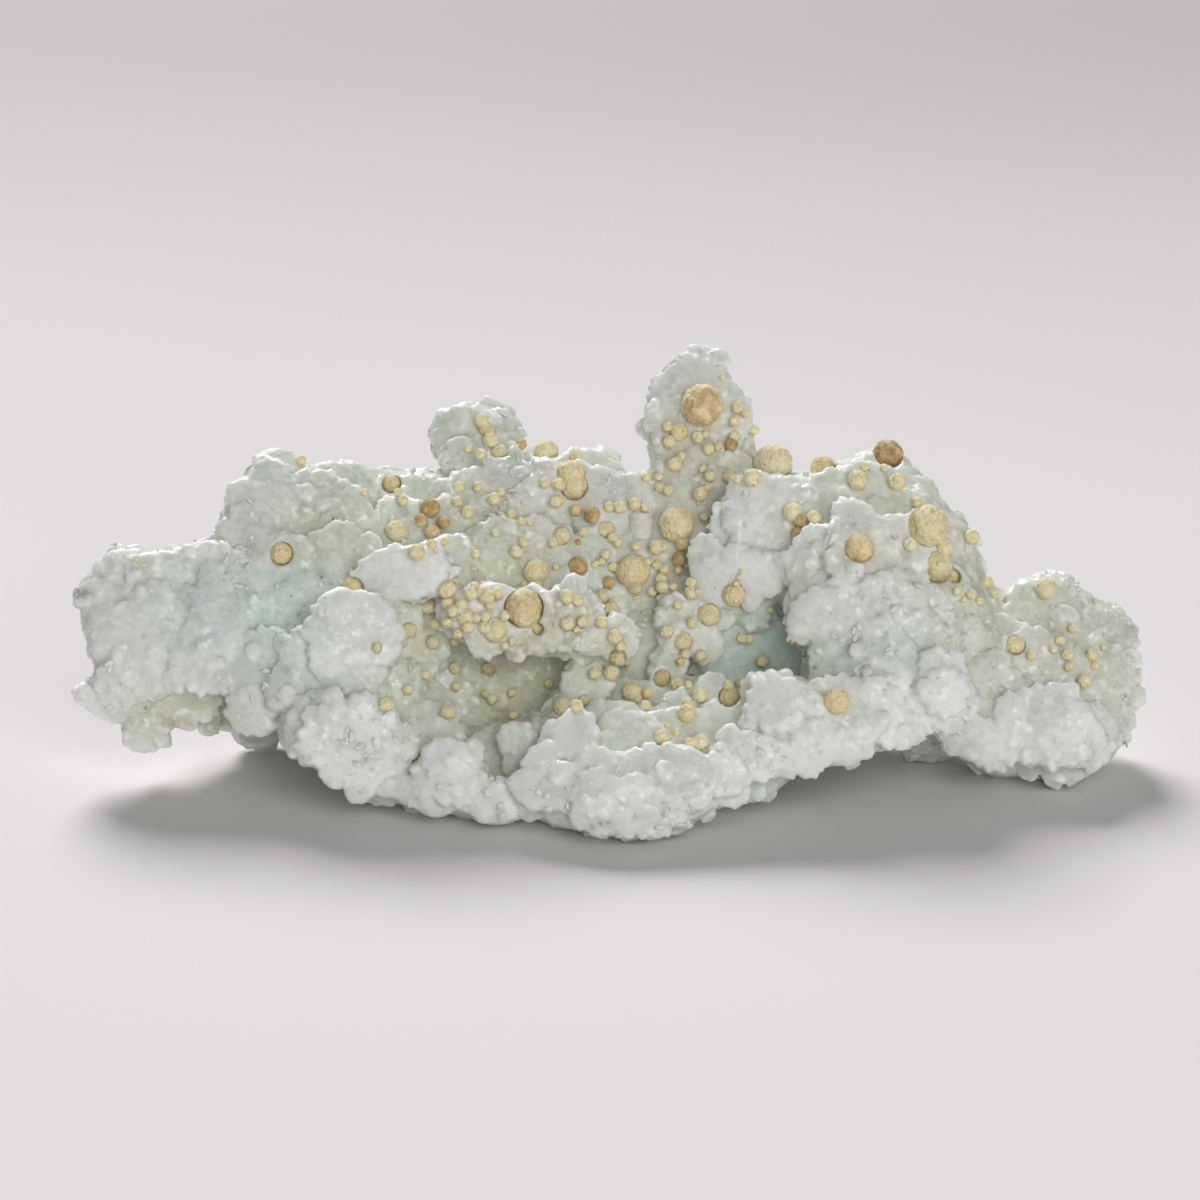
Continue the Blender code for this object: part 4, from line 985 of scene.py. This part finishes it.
# up and relief, as for the larger balls, carry painted shade
mask(mesh, "up", np.concatenate(all_up))
mask(mesh, "seed", np.concatenate(all_seed))
mask(mesh, "relief", np.concatenate(all_relief))
mesh.shade_smooth()
small_balls = new_object("small_balls", mesh)
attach(small_balls, "root")
note(f"small balls {len(mesh.polygons)} facets")

# ---------------------------------------------------------------- small tabular crystals standing out of the crust
face = np.empty(len(crust_mesh.polygons) * 3, np.int32)
crust_mesh.polygons.foreach_get("vertices", face)
face = face.reshape(-1, 3)
corner = co[face]
cross = np.cross(corner[:, 1] - corner[:, 0], corner[:, 2] - corner[:, 0])
area = np.linalg.norm(cross, axis=1) / 2
facing = cross / (2 * area[:, None] + 1e-12)
middle = corner.mean(1)


def grow_crystals(name, number, weight, small, large, power, lean_most, depth_least, depth_most):
    """Closed six-sided blades with bevelled edges, joined in one mesh."""
    sides = 6
    chance = area * weight * (middle[:, 2] > 0.0009)
    where = crystal_rng.choice(len(corner), number, p=chance / chance.sum())
    mix = crystal_rng.dirichlet((1, 1, 1), number)
    spot = (corner[where] * mix[:, :, None]).sum(1)
    n = facing[where]
    axis = n + crystal_rng.normal(size=(number, 3)) * lean_most
    axis /= np.linalg.norm(axis, axis=1)[:, None]
    a = np.cross(axis, crystal_rng.normal(size=(number, 3)))
    a /= np.linalg.norm(a, axis=1)[:, None]
    b = np.cross(axis, a)
    r = small + (large - small) * crystal_rng.random(number) ** power
    thick = r * crystal_rng.uniform(0.16, 0.36, number)
    long = crystal_rng.uniform(1.0, 2.2, number)
    centre = spot - n * (thick * crystal_rng.uniform(depth_least, depth_most, number))[:, None]
    angle = np.arange(sides) * 2 * math.pi / sides + crystal_rng.uniform(-0.36, 0.36, (number, sides))
    reach = crystal_rng.uniform(0.72, 1.12, (number, sides))
    rings = []
    for out, up in ((0.70, -1.0), (1.0, -0.45), (1.0, 0.35), (0.80, 1.0)):
        x = np.cos(angle) * reach * out * (r * long)[:, None]
        y = np.sin(angle) * reach * out * r[:, None]
        z = np.full((number, sides), up) * thick[:, None]
        if up == 1.0:      # the top face slopes a little
            z += x * crystal_rng.uniform(-0.12, 0.12, number)[:, None] + y * crystal_rng.uniform(-0.12, 0.12, number)[:, None]
        rings.append(centre[:, None, :] + x[..., None] * a[:, None, :] + y[..., None] * b[:, None, :] + z[..., None] * axis[:, None, :])
    pts = np.stack(rings, 1)
    pts[..., 2] += np.maximum(0.0, 0.00005 - pts[..., 2].min((1, 2)))[:, None, None]      # none reaches below the flat cut
    pts = pts.reshape(-1, 3)
    faces = []
    for k in range(3):
        for i in range(sides):
            j = (i + 1) % sides
            p, q, u, v = k * sides + i, k * sides + j, (k + 1) * sides + j, (k + 1) * sides + i
            faces += [(p, q, u), (p, u, v)]
    for i in range(1, sides - 1):
        faces += [(0, i + 1, i), (3 * sides, 3 * sides + i, 3 * sides + i + 1)]
    faces = np.array(faces)
    tris = (faces[None] + (np.arange(number) * 4 * sides)[:, None, None]).reshape(-1, 3)
    mesh = new_mesh(name, pts, tris)
    # the crystals take the crust's tints and its painted recess shade
    near_teal, near_olive, near_recess_shade = tints(pts)
    mask(mesh, "teal", near_teal)
    mask(mesh, "olive", near_olive)
    mask(mesh, "recess_shade", near_recess_shade)
    mask(mesh, "tone", np.repeat(np.clip(crystal_rng.normal(0.55, 0.25, number), 0, 1), 4 * sides))
    # edge: the crystals' side rings are whitened in the material, partly paler edges, partly painted highlight
    mask(mesh, "edge", np.tile(np.repeat([0.0, 0.8, 0.8, 0.35], sides), number))
    thing = new_object(name, mesh)
    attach(thing, "root")
    note(f"{name}: {len(mesh.polygons)} facets")
    return thing


crystal_rng = np.random.default_rng(31)
patches = middle[crystal_rng.choice(len(middle), 90, p=area / area.sum())]
sugary = np.full(len(middle), 0.12)
for spot in patches:
    sugary = np.maximum(sugary, np.exp(-((middle - spot) ** 2).sum(1) / (2 * crystal_rng.uniform(0.0015, 0.004) ** 2)))
for x, y, w, reach in ((640, 800, 18, 60), (560, 800, 17, 40), (1050, 760, 2, 60), (1010, 720, 4, 40), (120, 700, 3, 60), (70, 600, 0, 40), (800, 740, 12, 50), (350, 760, 10, 50), (690, 600, 0, 40), (300, 680, 8, 30), (495, 474, -14, 16), (671, 610, -3, 14), (452, 560, -8, 10), (640, 690, 0, 14), (870, 470, -9, 14),
                       (760, 505, -2, 16), (648, 752, 14, 24), (598, 708, 8, 14), (345, 690, 9, 20), (1020, 700, 3, 20)):
    sugary = np.maximum(sugary, np.exp(-((middle - place(x, y, w)) ** 2).sum(1) / (2 * (reach * UNIT * 0.6) ** 2)))
ahead = 0.3 + np.clip(facing @ FORWARD + 0.3, 0.0, 1.0)
crystals = [
    grow_crystals("prehnite_tablets", 620, sugary ** 2 * ahead, 0.00025, 0.00065, 1.6, 0.7, 0.1, 0.9),
    grow_crystals("prehnite_grains", 1300, (0.10 + sugary ** 2) * ahead, 0.00010, 0.00028, 1.3, 0.9, 0.0, 0.6),
]

# one pale barrel-shaped crystal with bands across, standing on the slope
hit, normal, back = seat_at(641, 528)
sides, rings = 12, []
for up, out in ((-2.1, 0.80), (-1.9, 0.95), (-0.9, 1.03), (-0.8, 0.98), (0.5, 1.02), (0.6, 0.93), (1.0, 1.0), (1.1, 0.90), (1.6, 0.95), (1.85, 0.70)):
    turn = np.arange(sides) * 2 * math.pi / sides
    side = 1.0 + 0.05 * np.sin(turn * 3 + 0.6)
    rings.append(np.array(hit - back * 0.0003) + (np.cos(turn) * side)[:, None] * RIGHT * out * 0.00155 + (np.sin(turn) * side)[:, None] * FORWARD * out * 0.00125 + UP * up * 0.001)
pts = np.concatenate(rings)
faces = []
for k in range(len(rings) - 1):
    for i in range(sides):
        j = (i + 1) % sides
        p, q, u, v = k * sides + i, k * sides + j, (k + 1) * sides + j, (k + 1) * sides + i
        faces += [(p, v, u), (p, u, q)]
last = (len(rings) - 1) * sides
for i in range(1, sides - 1):
    faces += [(0, i, i + 1), (last, last + i + 1, last + i)]
mesh = new_mesh("barrel_crystal", pts, faces)
bm = bmesh.new()
bm.from_mesh(mesh)
bmesh.ops.recalc_face_normals(bm, faces=bm.faces)
bm.to_mesh(mesh)
bm.free()
mask(mesh, "teal", np.zeros(len(pts)))
mask(mesh, "olive", np.full(len(pts), 0.55))
mask(mesh, "recess_shade", np.zeros(len(pts)))
mask(mesh, "tone", np.repeat([0.5, 0.6, 1.0, 0.2, 1.0, 0.2, 0.8, 0.3, 1.0, 0.7], sides))
mask(mesh, "edge", np.repeat([0.0, 0.3, 0.2, 0.9, 0.1, 0.9, 0.2, 0.8, 0.2, 0.9], sides))
barrel = new_object("barrel_crystal", mesh)
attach(barrel, "root")
crystals.append(barrel)

# ---------------------------------------------------------------- materials


class Nodes:
    """A short way to build a material's nodes."""

    def __init__(self, name):
        self.mat = bpy.data.materials.new(name)
        self.mat.use_nodes = True
        self.tree = self.mat.node_tree
        self.shader = self.tree.nodes["Principled BSDF"]
        self.coord = self.tree.nodes.new("ShaderNodeTexCoord").outputs["Object"]

    def link(self, a, b):
        self.tree.links.new(a, b)

    def put(self, socket, value):
        if isinstance(value, bpy.types.NodeSocket):
            self.link(value, socket)
        elif isinstance(value, (tuple, list)):
            socket.default_value = (*value, 1.0) if len(value) == 3 and len(socket.default_value) == 4 else value
        else:
            socket.default_value = value

    def attribute(self, name):
        node = self.tree.nodes.new("ShaderNodeAttribute")
        node.attribute_name = name
        return node.outputs["Fac"]

    def noise(self, scale, detail=3.0, rough=0.5, distortion=0.0, out="Fac", vector=None):
        node = self.tree.nodes.new("ShaderNodeTexNoise")
        self.link(vector or self.coord, node.inputs["Vector"])
        node.inputs["Scale"].default_value = scale
        node.inputs["Detail"].default_value = detail
        node.inputs["Roughness"].default_value = rough
        node.inputs["Distortion"].default_value = distortion
        return node.outputs[out]

    def voronoi(self, scale, feature="F1", out="Distance", randomness=1.0, vector=None):
        node = self.tree.nodes.new("ShaderNodeTexVoronoi")
        node.feature = feature
        self.link(vector or self.coord, node.inputs["Vector"])
        node.inputs["Scale"].default_value = scale
        node.inputs["Randomness"].default_value = randomness
        return node.outputs[out]

    def math(self, kind, a, b=0.0, clamp=False):
        node = self.tree.nodes.new("ShaderNodeMath")
        node.operation = kind
        node.use_clamp = clamp
        self.put(node.inputs[0], a)
        self.put(node.inputs[1], b)
        return node.outputs[0]

    def vector(self, kind, a, b, out="Vector"):
        node = self.tree.nodes.new("ShaderNodeVectorMath")
        node.operation = kind
        for socket, value in ((node.inputs[0], a), (node.inputs[1], b)):
            if isinstance(value, bpy.types.NodeSocket):
                self.link(value, socket)
            else:
                socket.default_value = value
        return node.outputs[out]

    def span(self, value, a, b, c=0.0, d=1.0, smooth=True):
        node = self.tree.nodes.new("ShaderNodeMapRange")
        node.interpolation_type = "SMOOTHSTEP" if smooth else "LINEAR"
        self.put(node.inputs["Value"], value)
        for key, v in (("From Min", a), ("From Max", b), ("To Min", c), ("To Max", d)):
            node.inputs[key].default_value = v
        return node.outputs[0]

    def mix(self, factor, a, b, kind="MIX"):
        node = self.tree.nodes.new("ShaderNodeMix")
        node.data_type = "RGBA"
        node.blend_type = kind
        node.clamp_factor = True
        self.put(node.inputs["Factor"], factor)
        self.put(node.inputs[6], a)
        self.put(node.inputs[7], b)
        return node.outputs[2]

    def bump(self, height, distance, strength=1.0, under=None):
        node = self.tree.nodes.new("ShaderNodeBump")
        node.inputs["Distance"].default_value = distance
        node.inputs["Strength"].default_value = strength
        self.link(height, node.inputs["Height"])
        if under is not None:
            self.link(under, node.inputs["Normal"])
        return node.outputs["Normal"]


def facet_height(n, scale, slope):
    """Flat facets at random slopes: the height in metres above each cell's own tilted plane."""
    node = n.tree.nodes.new("ShaderNodeTexVoronoi")
    n.link(n.coord, node.inputs["Vector"])
    node.inputs["Scale"].default_value = scale
    away = n.vector("SUBTRACT", n.coord, node.outputs["Position"])
    way = n.vector("SUBTRACT", node.outputs["Color"], (0.5, 0.5, 0.5))
    return n.math("MULTIPLY", n.vector("DOT_PRODUCT", away, way, "Value"), slope), node.outputs["Color"]


def prehnite_material(name, on_crust):
    n = Nodes(name)
    teal, olive, edge, tone, recess_shade = n.attribute("teal"), n.attribute("olive"), n.attribute("edge"), n.attribute("tone"), n.attribute("recess_shade")
    cloud = n.noise(420.0, 3.0, 0.55)
    drift = n.noise(130.0, 1.0, 0.5)
    sugar = n.noise(3400.0, 1.0, 0.6)
    # depth: painted shade from the recess and crease masks, with random drift and plate tone
    depth = n.math("ADD", recess_shade, n.span(drift, 0.35, 0.7, -0.14, 0.14))
    depth = n.math("ADD", depth, n.span(tone, 0.0, 1.0, 0.22, -0.22, False))
    # painted shade: on the crust the bulk mask darkens the creases
    if on_crust:
        bulk, wide = n.attribute("bulk"), n.attribute("wide")
        depth = n.math("ADD", depth, n.span(bulk, 0.45, 0.80, 0.0, 0.35))
    pale = n.mix(n.span(cloud, 0.35, 0.65), (0.765, 0.795, 0.755), (0.82, 0.845, 0.81))
    pale = n.mix(n.span(tone, 0.3, 1.0, 0.0, 0.7), pale, (0.87, 0.885, 0.865))
    # deep: the darker, greener colour painted as shade in recesses, tinted teal and olive
    deep = n.mix(teal, (0.70, 0.75, 0.64), (0.67, 0.83, 0.77))
    deep = n.mix(olive, deep, (0.66, 0.68, 0.51))
    pale = n.mix(n.math("MULTIPLY", teal, 0.6), pale, (0.64, 0.745, 0.715))
    pale = n.mix(n.math("MULTIPLY", olive, 0.75), pale, (0.66, 0.66, 0.505))
    # painted shade: recessed and creased parts take the deep colour
    colour = n.mix(n.span(depth, 0.05, 0.95, 0.0, 0.9), pale, deep)
    # painted highlight: rims and plate outlines are whitened, partly the paler crystal edges, partly light caught by
    # thin edges
    if on_crust:
        rim = n.attribute("rim")
        line = n.math("MULTIPLY", edge, n.span(rim, -0.1, 0.4))
        pale_edge_and_highlight = n.math("ADD", n.math("MULTIPLY", line, 0.8), n.span(n.math("ADD", rim, n.span(sugar, 0.3, 0.7, -0.2, 0.2)), 0.35, 1.0, 0.0, 0.45), clamp=True)
    else:
        pale_edge_and_highlight = n.math("MULTIPLY", edge, n.span(sugar, 0.3, 0.7, 0.35, 0.8))
    colour = n.mix(pale_edge_and_highlight, colour, (0.90, 0.915, 0.90))
    speck = n.voronoi(330.0)
    pick = n.noise(210.0, 0.0, 0.5)
    dark = n.math("MULTIPLY", n.span(n.math("ADD", speck, n.span(sugar, 0.3, 0.7, -0.02, 0.04)), 0.03, 0.07, 1.0, 0.0), n.span(pick, 0.58, 0.62))
    colour = n.mix(n.math("MULTIPLY", dark, 0.7), colour, (0.10, 0.10, 0.08))
    if on_crust:
        stain = n.math("MULTIPLY", n.attribute("dirt"), n.span(sugar, 0.35, 0.55, 0.55, 1.0))
        colour = n.mix(stain, colour, (0.11, 0.10, 0.08))
    coarse, first_random = facet_height(n, 520.0, 0.22)
    fine, random = facet_height(n, 1700.0, 0.28)
    colour = n.mix(n.span(random, 0.52, 0.85, 0.0, 0.45), colour, (0.93, 0.945, 0.93))
    colour = n.mix(n.span(first_random, 0.55, 0.80, 0.0, 0.30), colour, (0.90, 0.92, 0.90))
    colour = n.mix(n.span(random, 0.15, 0.42, 0.12, 0.0), colour, (0.50, 0.56, 0.50))
    n.link(colour, n.shader.inputs["Base Color"])
    glint = n.span(random, 0.70, 0.73)
    rough = n.math("SUBTRACT", n.span(cloud, 0.3, 0.7, 0.42, 0.60), n.math("MULTIPLY", glint, 0.30))
    n.link(rough, n.shader.inputs["Roughness"])
    first = n.bump(coarse, 1.0, 0.8)
    second = n.bump(fine, 1.0, 0.8, first)
    n.link(second, n.shader.inputs["Normal"])
    s = n.shader.inputs
    s["Subsurface Weight"].default_value = 0.72 if on_crust else 0.35
    s["Subsurface Radius"].default_value = (1.0, 1.15, 1.05)
    s["Subsurface Scale"].default_value = 0.0013 if on_crust else 0.0003
    s["IOR"].default_value = 1.6
    s["Specular IOR Level"].default_value = 0.4
    return n.mat


def gyrolite_material():
    n = Nodes("gyrolite")
    kind, up, seed = n.attribute("kind"), n.attribute("up"), n.attribute("seed")
    mottle = n.noise(900.0, 4.0, 0.6)
    broad = n.noise(300.0, 2.0, 0.5)
    fine = n.noise(5200.0, 3.0, 0.6)
    cream = n.mix(n.span(mottle, 0.35, 0.65), (0.99, 0.89, 0.56), (0.99, 0.94, 0.71))
    tan = n.mix(n.span(mottle, 0.35, 0.65), (0.98, 0.80, 0.48), (0.99, 0.89, 0.61))
    brown = n.mix(n.span(mottle, 0.35, 0.65), (0.42, 0.27, 0.11), (0.76, 0.56, 0.29))
    grit = n.noise(2600.0, 4.0, 0.7)
    colour = n.mix(n.span(kind, 0.0, 0.6, 0.0, 1.0, False), cream, tan)
    colour = n.mix(n.span(n.math("ADD", kind, n.span(broad, 0.35, 0.65, -0.25, 0.25)), 0.68, 1.0), colour, brown)
    colour = n.mix(n.span(seed, 0.0, 1.0, 0.0, 0.25, False), colour, (0.85, 0.69, 0.39))
    colour = n.mix(n.span(grit, 0.36, 0.58, 0.36, 0.0), colour, (0.76, 0.57, 0.28))
    # painted shade: the low parts of the skin between bumps are browner
    relief = n.attribute("relief")
    colour = n.mix(n.span(n.math("ADD", relief, n.span(mottle, 0.3, 0.7, -0.35, 0.35)), -1.2, -0.1, 0.40, 0.0), colour, (0.68, 0.49, 0.22))
    # painted shade: the lower side of each ball is browner, as if shaded from the light above
    low = n.span(n.math("ADD", up, n.span(mottle, 0.3, 0.7, -0.25, 0.25)), 0.0, -0.95, 0.0, 0.25)
    colour = n.mix(low, colour, (0.56, 0.38, 0.15))
    # painted shade: small dark pits
    pits = n.math("MULTIPLY", n.span(n.voronoi(1300.0), 0.10, 0.2, 1.0, 0.0), n.span(n.noise(500.0, 1.0), 0.57, 0.62))
    colour = n.mix(n.math("MULTIPLY", pits, 0.65), colour, (0.20, 0.11, 0.04))
    colour = n.mix(n.span(kind, -0.3, -1.0, 0.0, 0.55), colour, (0.72, 0.66, 0.47))
    n.link(colour, n.shader.inputs["Base Color"])
    n.link(n.span(fine, 0.3, 0.7, 0.62, 0.85), n.shader.inputs["Roughness"])
    first = n.bump(n.voronoi(2200.0), 0.00022, 0.8)
    n.link(n.bump(grit, 0.00022, 0.9, first), n.shader.inputs["Normal"])
    s = n.shader.inputs
    s["Subsurface Weight"].default_value = 0.4
    s["Subsurface Radius"].default_value = (1.0, 0.7, 0.35)
    s["Subsurface Scale"].default_value = 0.0005
    s["Specular IOR Level"].default_value = 0.35
    return n.mat


def floor_material():
    n = Nodes("floor")
    # near: the floor's colour at the front; towards the back it is painted darker as shade, standing in for the light
    # falling off there
    near = n.mix(n.noise(9.0, 0.0), (0.748, 0.727, 0.734), (0.768, 0.749, 0.754))
    split = n.tree.nodes.new("ShaderNodeSeparateXYZ")
    n.link(n.coord, split.inputs[0])
    n.link(n.mix(n.span(split.outputs["Y"], 0.0, 0.62, 0.0, 1.0), near, (0.43, 0.416, 0.422)), n.shader.inputs["Base Color"])
    n.shader.inputs["Roughness"].default_value = 0.75
    n.shader.inputs["Specular IOR Level"].default_value = 0.2
    return n.mat


crust_mesh.materials.clear()
crust_mesh.materials.append(prehnite_material("prehnite", True))
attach(crust, "root")
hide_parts("prehnite_crust")
sugar_material = prehnite_material("prehnite_crystals", False)
for thing in crystals:
    thing.data.materials.append(sugar_material)
gyrolite = gyrolite_material()
for thing in ball_objects + [small_balls]:
    thing.data.materials.append(gyrolite)
note("materials")

# ---------------------------------------------------------------- floor, light, camera
bm = bmesh.new()
bmesh.ops.create_grid(bm, x_segments=8, y_segments=8, size=3.0)
mesh = bpy.data.meshes.new("floor")
bm.to_mesh(mesh)
bm.free()
floor = new_object("floor", mesh)
mesh.materials.append(floor_material())
floor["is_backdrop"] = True


def area_light(name, spot, target, size, power, colour=(1.0, 1.0, 1.0)):
    light = bpy.data.lights.new(name, "AREA")
    light.shape = "DISK"
    light.size = size
    light.energy = power
    light.color = colour
    thing = bpy.data.objects.new(name, light)
    thing.location = spot
    thing.rotation_mode = "QUATERNION"
    thing.rotation_quaternion = (Vector(spot) - Vector(target)).to_track_quat("Z", "Y")
    bpy.context.scene.collection.objects.link(thing)
    return thing


area_light("key", (-0.50, 1.90, 1.68), (0.0, 0.0, 0.02), 1.15, 68.5, (0.99, 0.965, 0.985))
area_light("fill", (0.30, -0.90, 0.44), (0.0, 0.0, 0.03), 0.85, 5.8, (1.0, 0.985, 0.965))

world = bpy.data.worlds.new("world")
world.use_nodes = True
world.node_tree.nodes["Background"].inputs["Color"].default_value = (0.96, 0.985, 0.94, 1.0)
world.node_tree.nodes["Background"].inputs["Strength"].default_value = 0.145
bpy.context.scene.world = world
bpy.context.scene.view_settings.view_transform = "Standard"
bpy.context.scene.view_settings.look = "None"

lens = bpy.data.cameras.new("camera")
lens.sensor_width = 36.0
lens.lens = 36.0 * EYE / (1200 * UNIT)
lens.clip_start, lens.clip_end = 0.01, 20.0
camera = bpy.data.objects.new("camera", lens)
camera.location = Vector(place(AXIS_X, AXIS_Y, EYE * 1000.0))
camera.rotation_mode = "QUATERNION"
camera.rotation_quaternion = Vector(FORWARD).to_track_quat("Z", "Y")
bpy.context.scene.collection.objects.link(camera)
bpy.context.scene.camera = camera

# ---------------------------------------------------------------- sizes, and the end
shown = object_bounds()
note(f"sizes {[round(v * 1000, 2) for c in cad_box for v in c]} {[round(v * 1000, 2) for c in shown for v in c]}")
